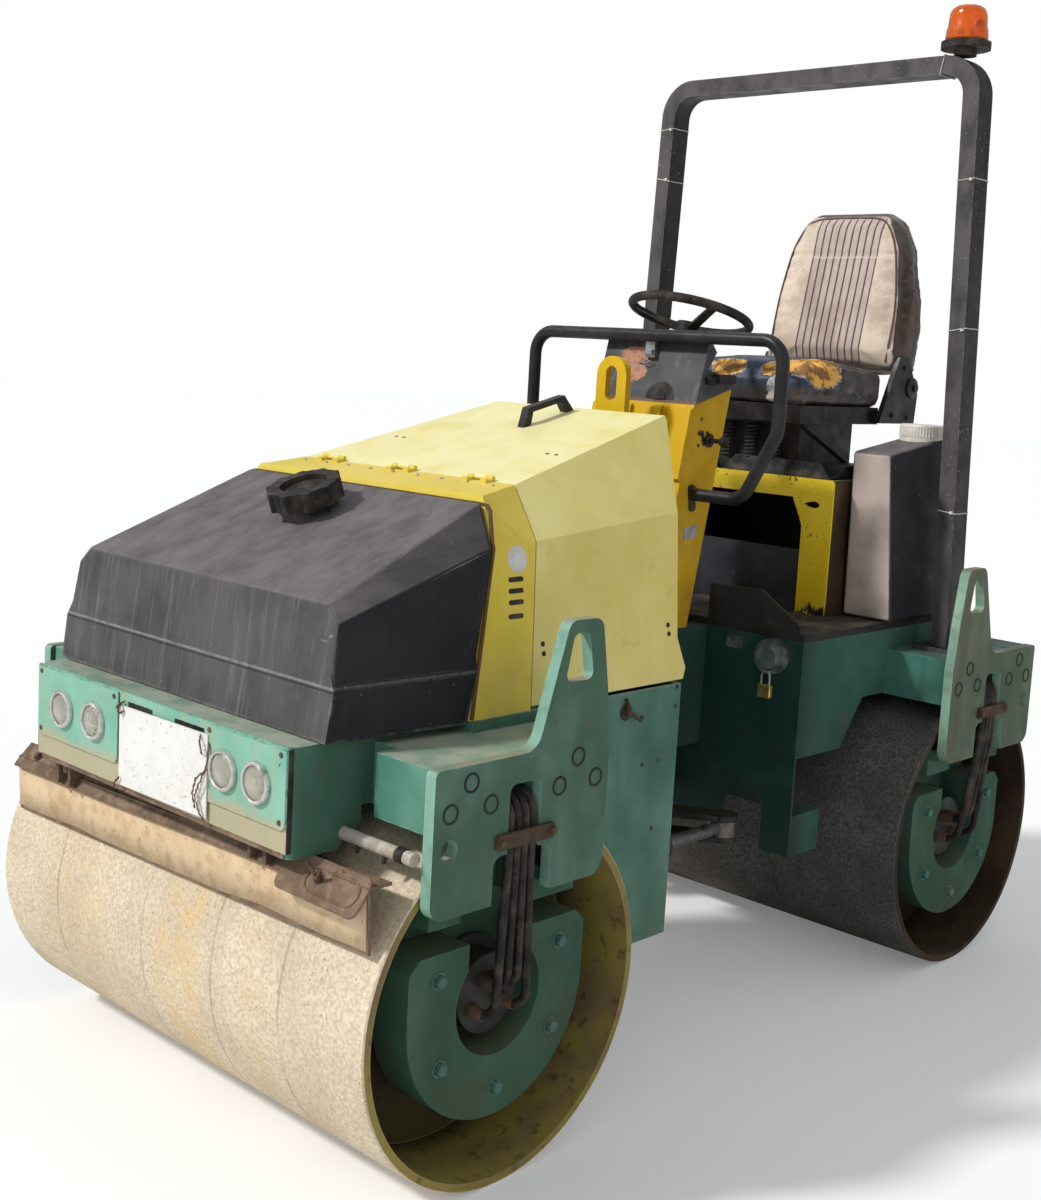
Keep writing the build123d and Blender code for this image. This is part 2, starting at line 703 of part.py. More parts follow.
def seat_back():
    side = [(1004, 110), (992, 160), (1050, 540), (1076, 572), (1130, 576), (1164, 540), (1170, 220), (1130, 110)]
    front = [(back_half_width, 100), (back_half_width, 160), (216, 320), (188, 470), (142, 554), (100, 582)]
    pad = prism_x([(y, cushion_low + rise) for y, rise in side], seat_x - back_half_width, seat_x + back_half_width)
    return pad & prism_y([(seat_x + x, cushion_low + rise) for x, rise in half_section(front)], 950, 1200)


def side_tanks():
    """Moulded tanks beside the seat stand: top rising rearwards, outer side flaring towards the floor."""
    low = floor_top + seat_gap
    inner = [(680, low), (662, side_tank_top), (1000, side_tank_top + 50), (1010, low)]
    faces = []
    for foot_x, lean in ((stand_half_width + 6, 0.01), (498, -0.062)):
        corners = [(foot_x + (z - low) * lean, y, z) for y, z in inner]
        faces.append(make_face(Polyline(*corners, close=True)))
    return both_sides(fillet(loft(faces, ruled=True).edges(), 14))


def side_tank_cap():
    top = side_tank_top + 50 * (916 - 662) / (1000 - 662)
    cap = rod_z(62, top - 20, top + 40, 411, 916)
    cap = fillet(cap.edges().group_by(Axis.Z)[-1], 6)
    return cap - prism_x([(800, 1300), (800, side_tank_top + seat_gap + 20.4), (1030, side_tank_top + seat_gap + 54.4),
                          (1030, 1300)], 300, 500)


def console():
    """Steering console: a leaning pedestal with raised ribs down its front."""
    lean = 0.196
    top_front, top_back = dash_outline[0], dash_outline[-2]
    back_foot = top_back[0] - (top_back[1] - rear_frame_top) * lean
    knee = top_front[1] - (top_front[0] - console_front) / lean
    rest = [(y, z - seat_gap) for y, z in (dash_outline[0], dash_outline[-1], dash_outline[-2])]
    side = [(console_front, rear_frame_top), (console_front, knee)] + rest + [(back_foot, rear_frame_top)]
    body = prism_x(side, -console_half_width, console_half_width)
    for low, high in ((-168, -93), (-69, -34), (34, 69), (93, 168)):
        rib = [(top_front[0] - 2, top_front[1] - 8), (top_front[0] - 14, top_front[1] - 12),
               (top_front[0] - 14 - 180 * lean, top_front[1] - 192), (top_front[0] - 190 * lean, top_front[1] - 198)]
        body += prism_x(rib, low, high)
    return body


def lifting_eye():
    """Central lifting plate with a long round-ended eye, on a gusset from the console's foot."""
    half, top = eye_half_width, eye_plate_top - eye_half_width
    plate = block((-half, half), (eye_front, eye_back), (1010, top)) + rod_y(half, eye_front, eye_back, 0, top)
    low, high = 1550, 1602
    plate -= block((-19, 19), (eye_front - 1, eye_back + 1), (low, high))
    for z in (low, high):
        plate -= rod_y(19, eye_front - 1, eye_back + 1, 0, z)
    foot = block((-half, half), (eye_back - 1, console_front - seat_gap), (1010, 1090))
    for side in (-1, 1):
        x_low, x_high = sorted((side * (half - 10), side * half))
        foot += prism_x([(eye_back - 1, 1089), (console_front - seat_gap, 1089), (eye_back - 1, 1180)], x_low, x_high)
    return plate + foot


def instrument_hood():
    """Dark cover over the instruments, sloping forwards."""
    return prism_x(dash_outline, -dash_half_width, dash_half_width)


def wheel_axis():
    tilt = radians(wheel_tilt)
    return Vector(0, sin(tilt), cos(tilt))


def steering_column():
    down = wheel_axis() * -1
    top = Vector(*wheel_centre) + down * 58
    length = 118.0
    column = Plane(origin=top, z_dir=down) * Pos(0, 0, length / 2) * Cylinder(column_radius, length)
    return column - prism_x([(y, z + seat_gap) for y, z in dash_outline], -60, 60)


def steering_wheel():
    """Rim, three spokes and a hub set lower than the rim."""
    plane = Plane(origin=wheel_centre, z_dir=tuple(wheel_axis()), x_dir=(1, 0, 0))
    wheel = plane * Torus(wheel_radius - wheel_tube, wheel_tube) + plane * Pos(0, 0, -41) * Cylinder(32, 32)
    reach = wheel_radius - wheel_tube
    for angle in (90, 210, 330):
        spoke = make_face(Polyline((16, -13, -50), (16, 13, -50), (reach, 11, -5), (reach, -11, -5), close=True))
        wheel += plane * Rot(0, 0, angle) * extrude(spoke, amount=9, dir=(0, 0, 1))
    return wheel


def guard_rail():
    """Round-tube hoop in front of the operator, both ends fixed to the console."""
    x0 = console_half_width + seat_gap
    right = [(x0, rail_y, 1300), (328, rail_y, 1300), (rail_half_width, rail_y, 1478),
             (rail_half_width, rail_y, rail_top)]
    left = [(-x, y, z) for x, y, z in reversed(right)]
    return tube_along(right + left, rail_radius, [rail_bend] * 6)


def control_levers():
    """Side lever with a knob on the console."""
    x, y, z = console_half_width + seat_gap, 240, 1440
    return rod_x(6, x, x + 46, y, z) + Pos(x + 50, y, z) * Sphere(14) + rod_x(18, x, x + 6, y, z)


def rops():
    """Roll-over hoop bent from rectangular tube, its feet on the shoulder boxes."""
    t = rops_thickness
    foot = shoulder_top + rops_foot_thickness + seat_gap
    a, b = rops_foot_half_width - t / 2, rops_top_half_width - t / 2
    path = FilletPolyline((a, rops_y, foot - 5), (b, rops_y, rops_top - t / 2), (-b, rops_y, rops_top - t / 2),
                          (-a, rops_y, foot - 5), radius=rops_bend)
    start = Plane(origin=path @ 0, z_dir=path % 0, x_dir=(0, 1, 0))
    hoop = sweep(start * Rectangle(rops_depth, t), path=path)
    return hoop - block((-700, 700), (rops_y - 60, rops_y + 60), (foot - 20, foot))


def rops_feet():
    """Welded foot plates of the hoop."""
    foot = block((rops_foot_half_width - 84, rops_foot_half_width + 30), (rops_y - 70, rops_y + 70),
                 (shoulder_top + seat_gap, shoulder_top + rops_foot_thickness))
    return both_sides(foot)


def beacon_base():
    z = rops_top + seat_gap
    base = rod_z(30, z, z + 18, beacon_x, rops_y) + rod_z(beacon_radius, z + 17, z + 36, beacon_x, rops_y)
    return base


def beacon_lens():
    z = rops_top + 36 + 2 * seat_gap
    lens = rod_z(beacon_radius - 9, z, z + 96, beacon_x, rops_y)
    return fillet(lens.edges().group_by(Axis.Z)[-1], 28)


def filler_cap():
    x, z, back = frame_half_width - 88, rear_frame_top - 47, rear_wall - seat_gap
    return rod_y(46, back - 26, back, x, z) + rod_y(30, back - 38, back - 25, x, z)


def blank_plate():
    """Plain plate wired over the middle of the panel, hung a little askew."""
    face = at(-1, nose_end_out + panel_thickness + raised_thickness)
    plate = block((-156, 156), (face - 3 - seat_gap, face - seat_gap), (-84, 84))
    return Pos(48, 0, 793) * Rot(0, -0.5, 0) * plate


def engine():
    floor = bay_low + sheet + seat_gap
    return block((-200, 200), (-490, -290), (floor, 1120))


def cap_plane():
    tilt = radians(cap_tilt)
    front = tank_front + (tank_shoulder - tank_low) * 0.135
    back = tank_back + (tank_top - tank_low) * tank_lean
    height = tank_shoulder + (tank_top - tank_shoulder) * (cap_y - front) / (back - front)
    return Plane(origin=(0, cap_y, height + 16), z_dir=(0, -sin(tilt), cos(tilt)), x_dir=(1, 0, 0))


def tank_neck():
    return cap_plane() * Pos(0, 0, -20) * Cylinder(cap_radius - 22, 50)


def tank_cap():
    """Screw cap with finger lobes and a recess, on the tank's neck."""
    cap = cap_plane() * Pos(0, 0, 21 + seat_gap + 5) * Cylinder(cap_radius - 6, 42)
    for k in range(10):
        spot = cap_plane() * Rot(0, 0, 36 * k) * Pos(cap_radius - 12, 0, 21 + seat_gap + 5)
        cap += spot * Cylinder(12, 42)
    cap -= cap_plane() * Pos(0, 0, 50) * Cylinder(cap_radius - 32, 30)
    cap -= cap_plane() * Pos(0, 0, 0) * Cylinder(cap_radius - 22 + seat_gap, 2 * (seat_gap + 5))
    return cap


def hood_handle():
    """Bow handle along the hood's top."""
    slope = atan2(tank_top + 167 - (hinge_z - 7), hood_back - hinge_y)
    middle = -205.0
    height = hinge_z - 7 + (middle - hinge_y) * tan(slope) + seat_gap
    plane = Plane(origin=(-4, middle, height), z_dir=(0, -sin(slope), cos(slope)), x_dir=(0, cos(slope), sin(slope)))
    outer = [(-92, 0), (-66, 44), (66, 44), (92, 0), (66, 0), (52, 30), (-52, 30), (-66, 0)]
    face = make_face(Polyline(*[(x, 0, z) for x, z in outer], close=True))
    return plane * Pos(0, 11, 0) * extrude(face, amount=22, dir=(0, -1, 0))


def build():
    for end, word in ((-1, "front"), (1, "rear")):
        nodes[word + "_drum"] = drum(end)
        nodes[word + "_side_plates"] = side_plates(end)
        nodes[word + "_carriers"] = carriers(end)
        nodes[word + "_hub_motors"] = hub_motors(end)
        nodes[word + "_hoses"] = hoses(end)
        nodes[word + "_hose_clamps"] = hose_clamps(end)
        nodes[word + "_spray_bar"] = spray_bar(end)
        nodes[word + "_scraper"] = scraper(end)
        lamps = front_lamps if end < 0 else rear_lamps
        plates = front_plates if end < 0 else rear_plates
        nodes[word + "_panel"] = end_panel(end, lamps, plates, panel_slots if end < 0 else ())
        nodes[word + "_lamps"] = end_lamps(end, lamps)
    makers = (front_frame, blank_plate, water_tank, tank_cap, hood_cover, hood, hood_handle, engine, pivot_link,
              cylinder_barrel, cylinder_rod, rear_frame, platform, seat_stand, seat_base, seat_cushion, seat_back,
              side_tanks, side_tank_cap, console, lifting_eye, instrument_hood, steering_column, steering_wheel,
              guard_rail, control_levers, rops, rops_feet, beacon_base, beacon_lens, filler_cap)
    for maker in makers:
        nodes[maker.__name__] = maker()


build()
os.makedirs("parts", exist_ok=True)
for name, shape in nodes.items():
    export_step(shape, f"parts/{name}.step")
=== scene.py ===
import bpy, bmesh, math
from mathutils import Matrix, Vector

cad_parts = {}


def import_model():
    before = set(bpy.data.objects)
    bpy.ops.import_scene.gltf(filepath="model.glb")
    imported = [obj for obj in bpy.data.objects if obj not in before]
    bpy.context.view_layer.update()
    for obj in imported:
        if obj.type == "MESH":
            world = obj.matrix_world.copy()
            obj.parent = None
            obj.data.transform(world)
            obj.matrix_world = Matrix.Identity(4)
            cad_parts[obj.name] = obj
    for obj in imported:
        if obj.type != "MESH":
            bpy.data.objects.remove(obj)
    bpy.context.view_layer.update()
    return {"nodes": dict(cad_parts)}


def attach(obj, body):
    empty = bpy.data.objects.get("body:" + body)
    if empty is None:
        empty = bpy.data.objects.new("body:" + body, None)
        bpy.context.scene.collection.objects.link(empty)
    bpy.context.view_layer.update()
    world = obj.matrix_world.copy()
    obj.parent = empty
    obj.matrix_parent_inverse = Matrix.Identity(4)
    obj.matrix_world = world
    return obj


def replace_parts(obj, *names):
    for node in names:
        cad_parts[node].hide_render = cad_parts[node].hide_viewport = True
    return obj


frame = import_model()
nodes = frame["nodes"]
scene = bpy.context.scene

# ---- places shared with the CAD, in metres ----
axle = 0.917                          # each drum's axle from the steering pin, along Y
axle_height = 0.375
plate_face, shoe_face = 0.685, 0.62  # outsides of the side plates and the horseshoes, from the middle
lamp_out, panel_out = 0.402, 0.411    # faces of the lamps and the end panels, outwards from the axle
seat_middle = 0.022
hoop_y = 0.865
ends = ((-1, "front", "front_half"), (1, "rear", "rear_half"))


def at(end, out):
    return end * (axle + out)


# ---- shader nodes ----

class Nodes:
    """Adds shader nodes. A value is a number, a tuple or another node's socket."""

    def __init__(self, tree):
        self.tree = tree

    def put(self, value, socket):
        if hasattr(value, "is_output"):
            self.tree.links.new(value, socket)
        elif isinstance(value, tuple) and len(value) == 3 and len(socket.default_value) == 4:
            socket.default_value = (*value, 1)
        else:
            socket.default_value = value

    def add(self, kind, inputs, **settings):
        node = self.tree.nodes.new("ShaderNode" + kind)
        for key, value in settings.items():
            setattr(node, key, value)
        for key, value in inputs.items():
            self.put(value, node.inputs[key])
        return node

    def math(self, operation, a, b=0.0):
        return self.add("Math", {0: a, 1: b}, operation=operation).outputs[0]


class Paint(Nodes):
    """One procedural material in object coordinates, built up from its ground by over() and bump()."""

    def __init__(self, name, **settings):
        self.mat = bpy.data.materials.new(name)
        self.mat.use_nodes = True
        super().__init__(self.mat.node_tree)
        self.bsdf = self.tree.nodes["Principled BSDF"]
        for key, value in {"Specular_IOR_Level": 0.3, **settings}.items():
            self.put(value, self.bsdf.inputs[key.replace("_", " ")])
        coord = self.add("TexCoord", {})
        self.coord = coord.outputs["Object"]
        self.x, self.y, self.z = self.add("SeparateXYZ", {0: self.coord}).outputs
        self.nx, self.ny, self.nz = self.add("SeparateXYZ", {0: coord.outputs["Normal"]}).outputs
        self.flank = self.math("ABSOLUTE", self.nx)
        self.color = self.normal = None

    def chain(self, operation, values):
        total = values[0]
        for value in values[1:]:
            total = self.math(operation, total, value)
        return total

    def plus(self, *values):
        return self.chain("ADD", values)

    def minus(self, a, b):
        return self.math("SUBTRACT", a, b)

    def most(self, *values):
        return self.chain("MAXIMUM", values)

    def times(self, *values):
        return self.chain("MULTIPLY", values)

    def band(self, value, low, high, to_low=0.0, to_high=1.0):
        """Smooth step from to_low at low to to_high at high."""
        inputs = dict(enumerate((value, low, high, to_low, to_high)))
        return self.add("MapRange", inputs, interpolation_type="SMOOTHSTEP").outputs[0]

    def under(self, value, low, high):
        return self.band(value, low, high, 1, 0)

    def between(self, value, low, high, soft):
        return self.times(self.band(value, low - soft, low + soft), self.under(value, high - soft, high + soft))

    def noise(self, scale, detail=4, shift=0.0, stretch=(1, 1, 1), rough=0.6):
        place = {0: self.coord, "Location": (shift, shift * 1.7, shift * 0.6), "Scale": stretch}
        mapped = self.add("Mapping", place).outputs[0]
        grain = {"Vector": mapped, "Scale": scale, "Detail": detail, "Roughness": rough}
        return self.add("TexNoise", grain).outputs["Fac"]

    def patch(self, scale, detail, low, high, shift=0.0, stretch=(1, 1, 1), span=(0, 1), rough=0.6):
        """Noise cut to patches: span[0] where it is below low, span[1] where it is above high."""
        return self.band(self.noise(scale, detail, shift, stretch, rough), low, high, *span)

    def blend(self, mask, a, b):
        return self.add("Mix", {0: mask, 6: a, 7: b}, data_type="RGBA").outputs[2]

    def ground(self, a, b, *patch):
        self.color = self.blend(self.patch(*patch), a, b)

    def over(self, color, *masks):
        """Lays a colour on where all the masks are."""
        self.color = self.blend(self.times(*masks), self.color, color)

    def edge(self, radius, low=0.02, high=0.16):
        """1 on convex edges, from the Bevel node against the true normal."""
        bevel = self.add("Bevel", {0: radius}, samples=4)
        true = self.add("NewGeometry", {}).outputs["Normal"]
        dot = self.add("VectorMath", {0: bevel.outputs[0], 1: true}, operation="DOT_PRODUCT")
        return self.band(self.minus(1.0, dot.outputs["Value"]), low, high)

    def top(self, low=0.5, high=0.95):
        return self.band(self.nz, low, high)

    def bump(self, height, distance, strength):
        """Raises the surface by the height, on top of the bumps before."""
        inputs = {"Height": height, "Distance": distance, "Strength": strength}
        if self.normal is not None:
            inputs["Normal"] = self.normal
        self.normal = self.add("Bump", inputs).outputs[0]

    def done(self, rough):
        for key, value in (("Base Color", self.color), ("Roughness", rough), ("Normal", self.normal)):
            self.put(value, self.bsdf.inputs[key])
        return self.mat

    def mottled(self, scale, detail, low, high, shift=0.0):
        """Ends the material with a roughness that varies in patches from low to high."""
        return self.done(self.patch(scale, detail, 0.3, 0.7, shift, span=(low, high)))


def shade(color, factor):
    return tuple(c * factor for c in color)


# ---- camera, lights and stage ----

def camera():
    """The photograph's camera: angles in radians, focal length and centre in its pixels."""
    photo_width, photo_height = 1041, 1200
    yaw, pitch, roll = 0.7539, -0.1295, 0.0566
    focal, centre_x, centre_y = 1545.18, 531.03, 555.91
    ahead = Vector((-math.sin(yaw) * math.cos(pitch), math.cos(yaw) * math.cos(pitch), math.sin(pitch)))
    level = Vector((math.cos(yaw), math.sin(yaw), 0))
    up = level.cross(ahead)
    right = level * math.cos(roll) + up * math.sin(roll)
    up = up * math.cos(roll) - level * math.sin(roll)
    data = bpy.data.cameras.new("camera")
    obj = bpy.data.objects.new("camera", data)
    scene.collection.objects.link(obj)
    aim = Matrix((right, up, -ahead)).transposed().to_4x4()
    obj.matrix_world = Matrix.Translation((2.6274, -3.0333, 1.6381)) @ aim
    data.sensor_width = 36
    data.lens = focal * data.sensor_width / photo_height
    data.shift_x = (photo_width / 2 - centre_x) / photo_height
    data.shift_y = (centre_y - photo_height / 2) / photo_height
    data.clip_end = 100
    scene.camera = obj


def lamp(name, energy, angle, towards):
    sun = bpy.data.objects.new(name, bpy.data.lights.new(name, "SUN"))
    sun.data.energy = energy
    sun.data.angle = math.radians(angle)
    sun.rotation_euler = Vector(towards).to_track_quat("-Z", "Y").to_euler()
    scene.collection.objects.link(sun)


def world():
    """Soft cool light, seen as plain white by the camera and through glass."""
    w = bpy.data.worlds.new("world")
    scene.world = w
    w.use_nodes = True
    t = Nodes(w.node_tree)
    t.tree.nodes.clear()
    light = t.add("Background", {0: (0.93, 0.96, 1.0), 1: 0.52})
    seen = t.add("Background", {0: (1.0, 1.0, 1.0), 1: 1.0})
    path = t.add("LightPath", {}).outputs
    direct = t.math("MAXIMUM", path["Is Camera Ray"], path["Is Transmission Ray"])
    t.add("OutputWorld", {0: t.add("MixShader", {0: direct, 1: light.outputs[0], 2: seen.outputs[0]}).outputs[0]})


def floor():
    """Pale floor that takes the shadow, lifted towards white for the camera."""
    m = bpy.data.materials.new("floor")
    m.use_nodes = True
    t = Nodes(m.node_tree)
    lift = t.math("MULTIPLY", t.add("LightPath", {}).outputs["Is Camera Ray"], 0.16)
    for key, value in (("Base Color", (0.82, 0.82, 0.81)), ("Roughness", 0.9), ("Specular IOR Level", 0.1),
                       ("Emission Color", (1.0, 1.0, 1.0)), ("Emission Strength", lift)):
        t.put(value, t.tree.nodes["Principled BSDF"].inputs[key])
    mesh = bpy.data.meshes.new("floor")
    mesh.from_pydata([(-40, -40, 0), (40, -40, 0), (40, 40, 0), (-40, 40, 0)], [], [(0, 1, 2, 3)])
    mesh.materials.append(m)
    obj = bpy.data.objects.new("floor", mesh)
    scene.collection.objects.link(obj)


camera()
world()
floor()
lamp("key", 2.5, 6, (0.42, 0.72, -0.72))
lamp("fill", 0.14, 40, (-0.8, 0.35, -0.5))
scene.view_settings.view_transform = "Standard"


# ---- materials ----

def enamel(name, body, faded, bare, dust=(0.36, 0.3, 0.21), chips=0.5, dusty=0.6, low_dirt=(0.2, 0.7), grime=0.5,
           edge=0.5, roughness=0.45, sides=0.0, front_shade_y=0.0, painted_front_light=0.0):
    """Old sprayed paint: faded in patches, chipped to rust, pale on its edges from wear and a painted highlight,
    dusty on top and dirty low down; where asked, painted light on front faces and painted shade on a front wall and
    on the faces turned to ±x.
    """
    p = Paint(name)
    p.ground(body, faded, 3.2, 6, 0.35, 0.68)
    p.over(shade(body, 0.45), p.patch(26, 4, 0.52, 0.75, 3, (1, 1, 0.08)), 0.35 * grime)
    worn = p.edge(0.004)
    # Pale edges: wear, together with a painted highlight along the edges.
    p.over(tuple(min(1, c * 1.5 + 0.06) for c in faded), worn, p.patch(38, 4, 0.35, 0.6, 2), edge)
    p.over(bare, worn, p.patch(60, 4, 0.6, 0.66, 7), edge)
    chip = p.times(p.patch(95, 3, 0.69, 0.73, 5), p.patch(5, 3, 0.45, 0.6, 9), chips)
    p.over(bare, chip)
    film = p.times(p.top(), p.patch(11, 6, 0.3, 0.62, 4, span=(0.35, 1)))
    p.over(dust, film, dusty)
    p.over(shade(dust, 0.5), p.under(p.z, *low_dirt), p.patch(9, 6, 0.38, 0.62, 11), 0.55 * grime + 0.1)
    # Painted light: front faces turn paler mint in patches.
    if painted_front_light:
        ahead = p.under(p.ny, -0.85, -0.4)
        p.over((0.3, 0.5, 0.38), ahead, p.patch(20, 5, 0.3, 0.55, 15, span=(0.4, 1)), painted_front_light)
    # Painted shade: in front of the given y the wall goes near black in patches.
    if front_shade_y:
        wall = p.under(p.y, front_shade_y - 0.12, front_shade_y)
        p.over((0.006, 0.022, 0.019), wall, p.patch(6, 5, 0.2, 0.5, 19, span=(0.6, 1)), 0.8)
    # Painted shade on the faces turned to ±x: darkened in patches, then browned in patches; film here holds that
    # shade.
    if sides:
        flank = p.band(p.flank, 0.7, 0.95)
        film = p.times(flank, p.patch(5, 7, 0.25, 0.6, 17, (1, 1, 0.6), (0.45, 1)))
        p.over((body[0] * 0.4 + 0.012, body[1] * 0.3 + 0.012, body[2] * 0.24 + 0.006), film, sides)
        p.over((0.11, 0.07, 0.04), p.patch(17, 6, 0.6, 0.72, 21), flank, sides * 0.6)
    p.bump(p.noise(380, 2), 0.0004, 0.25)
    p.bump(chip, 0.0006, -0.6)
    p.bump(p.noise(4, 3, 13), 0.004, 0.18)
    rough = p.patch(14, 4, 0.3, 0.7, 6, span=(roughness - 0.06, roughness + 0.12))
    # Rougher under the last film: the painted side shade when sides is given, else the dust; and rougher on chips.
    return p.done(p.most(rough, p.times(film, 0.85), p.times(chip, 0.9)))


def panel_paint():
    """Faded mint sheet whose lower strip and corners hold dust."""
    p = Paint("panel_paint", Specular_IOR_Level=0.35)
    p.ground((0.19, 0.44, 0.33), (0.27, 0.52, 0.39), 6, 6, 0.35, 0.65)
    p.over((0.1, 0.05, 0.025), p.patch(90, 3, 0.66, 0.7, 5), p.patch(8, 3, 0.42, 0.6, 1))
    low = p.under(p.plus(p.z, p.times(p.noise(9, 5, 3), 0.05)), 0.765, 0.8)
    p.over(p.blend(p.noise(14, 5), (0.56, 0.41, 0.245), (0.42, 0.34, 0.205)), low, 0.8)
    p.over((0.45, 0.4, 0.26), p.patch(30, 5, 0.5, 0.72, 8, (1, 1, 0.06)), 0.4)
    p.over((0.05, 0.035, 0.025), p.edge(0.003), p.patch(50, 3, 0.5, 0.62, 2))
    p.bump(p.noise(7, 4), 0.004, 0.35)
    p.bump(p.noise(300, 2), 0.0004, 0.3)
    return p.mottled(12, 4, 0.5, 0.75)


def drum_steel(name, axle_y, outer_a, outer_b, band_color, bands, seams, inner_a, inner_b, speckle, grain):
    """Rolled shell: crust outside with bands across it, painted and rusty inside, with painted shade deep inside."""
    skin = 0.372
    p = Paint(name, Specular_IOR_Level=0.25)
    y, z = p.minus(p.y, axle_y), p.minus(p.z, axle_height)
    outside = p.band(p.math("SQRT", p.plus(p.times(y, y), p.times(z, z))), skin - 0.0005, skin + 0.0005)
    p.ground(inner_a, inner_b, 4, 7, 0.42, 0.6, 3, (1.2, 1, 1))
    p.over((0.085, 0.045, 0.02), p.patch(30, 5, 0.55, 0.7, 5), 0.7)
    # Painted shade: the inside goes near black away from the drum's ends.
    p.over((0.022, 0.017, 0.012), p.under(p.math("ABSOLUTE", p.x), 0.44, 0.52), 0.8)
    inner = p.color
    p.ground(outer_a, outer_b, 5, 8, 0.35, 0.66, 2)
    grit = p.patch(120, 6, 0.38, 0.64, 4)
    p.over(shade(outer_a, 0.62), grit, grain)
    wobble = p.plus(p.x, p.times(p.minus(p.noise(4, 4, 6), 0.5), 0.09))
    for low, high, amount in bands:
        p.over(band_color, p.between(wobble, low, high, 0.035), p.patch(22, 9, 0.38, 0.68, low, rough=0.75), amount)
    line = p.most(*(p.under(p.math("ABSOLUTE", p.minus(p.x, seam)), 0.002, 0.006) for seam in seams))
    p.over(shade(outer_a, 0.4), line, p.patch(7, 4, 0.3, 0.62, 12), 0.45)
    cells = p.add("TexVoronoi", {"Vector": p.coord, "Scale": 60}).outputs["Distance"]
    p.over((0.16, 0.085, 0.03), p.under(cells, 0.1, 0.17), p.patch(6, 3, 0.4, 0.55, 15), speckle)
    p.color = p.blend(outside, inner, p.color)
    p.over(shade(outer_a, 0.55), p.edge(0.005), 0.8)
    p.bump(p.noise(150, 5, 4), 0.0014, 0.5)
    p.bump(p.noise(18, 4), 0.002, 0.25)
    return p.done(p.band(grit, 0, 1, 0.72, 0.92))


def tank_plastic(name, streaky, front_dust=0.0):
    """Dark moulded polyethylene: pale runs, a dusty top and scuffs, painted shade on the faces turned to ±x, with a
    seam line or a dusty front.
    """
    p = Paint(name, Specular_IOR_Level=0.22)
    p.ground((0.026, 0.026, 0.031), (0.048, 0.046, 0.051), 4, 6, 0.35, 0.65)
    upright = p.under(p.nz, 0.25, 0.6)
    run = p.times(upright, p.band(p.ny, -0.75, -0.3, 1.0, 0.22))
    p.over((0.26, 0.24, 0.235), p.patch(60, 6, 0.5, 0.78, 2, (1, 0.3, 0.035)), run, 0.5 * streaky)
    p.over((0.33, 0.3, 0.29), p.patch(190, 4, 0.54, 0.72, 6, (1, 0.3, 0.03)), run, 0.25 * streaky)
    p.over((0.225, 0.2, 0.195), p.top(0.3, 0.8), p.patch(16, 9, 0.25, 0.7, 5, (1, 0.35, 1), (0.35, 1), 0.72), 0.75)
    ahead = p.under(p.ny, -0.95, -0.6)
    p.over((0.17, 0.155, 0.15), ahead, p.patch(7, 7, 0.3, 0.65, 1, span=(0.4, 1)), 0.42 * streaky)
    # Painted shade: the faces turned to ±x go near black.
    p.over((0.008, 0.008, 0.01), p.band(p.flank, 0.6, 0.9), 0.7)
    if front_dust:
        face = p.times(p.under(p.ny, -0.97, -0.8), p.patch(9, 6, 0.25, 0.6, 7, span=(0.65, 1)))
        p.over((0.57, 0.47, 0.41), face, 0.92 * front_dust)
    else:
        seam = p.times(p.between(p.z, 1.0045, 1.0095, 0.0015), upright)
        p.over((0.24, 0.225, 0.22), seam, p.patch(60, 3, 0.3, 0.6, 2, span=(0.3, 0.9)))
        p.over((0.01, 0.01, 0.012), p.between(p.z, 0.9985, 1.0025, 0.0015), upright, 0.7)
        p.bump(p.under(p.z, 1.000, 1.008), 0.004, 0.6)
    p.over((0.34, 0.31, 0.29), p.patch(60, 3, 0.7, 0.74, 9, (0.25, 1.4, 1)), 0.5)
    p.over((0.3, 0.28, 0.27), p.edge(0.012, 0.01, 0.1), p.patch(22, 4, 0.38, 0.62, 3), 0.5)
    p.bump(p.noise(900, 2), 0.0005, 0.5)
    p.bump(p.noise(30, 5, 8, (1, 0.4, 1)), 0.0012, 0.35)
    return p.mottled(10, 4, 0.5, 0.72)


def dark_metal(name, color, dust, rust, roughness, pale):
    """Black paint over steel: grey dust, brown chips, bright worn edges."""
    p = Paint(name)
    p.ground(color, tuple(c * 1.9 + 0.004 for c in color), 6, 6, 0.35, 0.65)
    film = p.most(p.times(p.top(), 0.9), p.times(p.patch(14, 6, 0.5, 0.7, 3), 0.5))
    p.over(pale, film, p.patch(28, 5, 0.3, 0.6, 8), dust)
    spots = p.times(p.patch(80, 4, 0.63, 0.68, 1), rust)
    p.over((0.11, 0.055, 0.025), spots)
    p.over(shade(pale, 0.6), p.edge(0.003), p.patch(45, 4, 0.42, 0.6, 6), 0.6)
    p.bump(p.noise(260, 3), 0.0005, 0.35)
    p.bump(spots, 0.0005, -0.5)
    return p.mottled(18, 4, roughness - 0.1, roughness + 0.2, 4)


def hoop_paint():
    """Black tube, grey in patches on its front face and speckled grey, its sides near black."""
    p = Paint("hoop_paint")
    p.ground((0.008, 0.007, 0.009), (0.02, 0.018, 0.02), 5, 6, 0.35, 0.65)
    worn = p.patch(17, 7, 0.3, 0.62, 3, (1, 1, 0.5), (0.35, 1))
    p.over((0.125, 0.11, 0.112), p.under(p.ny, -0.95, -0.7), worn, 0.75)
    specks = p.times(p.patch(120, 3, 0.64, 0.7, 6), p.patch(6, 4, 0.4, 0.62, 2))
    p.over((0.36, 0.32, 0.3), specks, 0.75)
    p.over((0.26, 0.23, 0.22), p.edge(0.004), p.patch(40, 4, 0.4, 0.6, 9), 0.6)
    p.over((0.1, 0.05, 0.025), p.patch(60, 4, 0.68, 0.72, 1), 0.6)
    p.bump(p.noise(240, 3), 0.0006, 0.4)
    p.bump(specks, 0.0005, -0.5)
    return p.mottled(18, 4, 0.38, 0.6, 4)


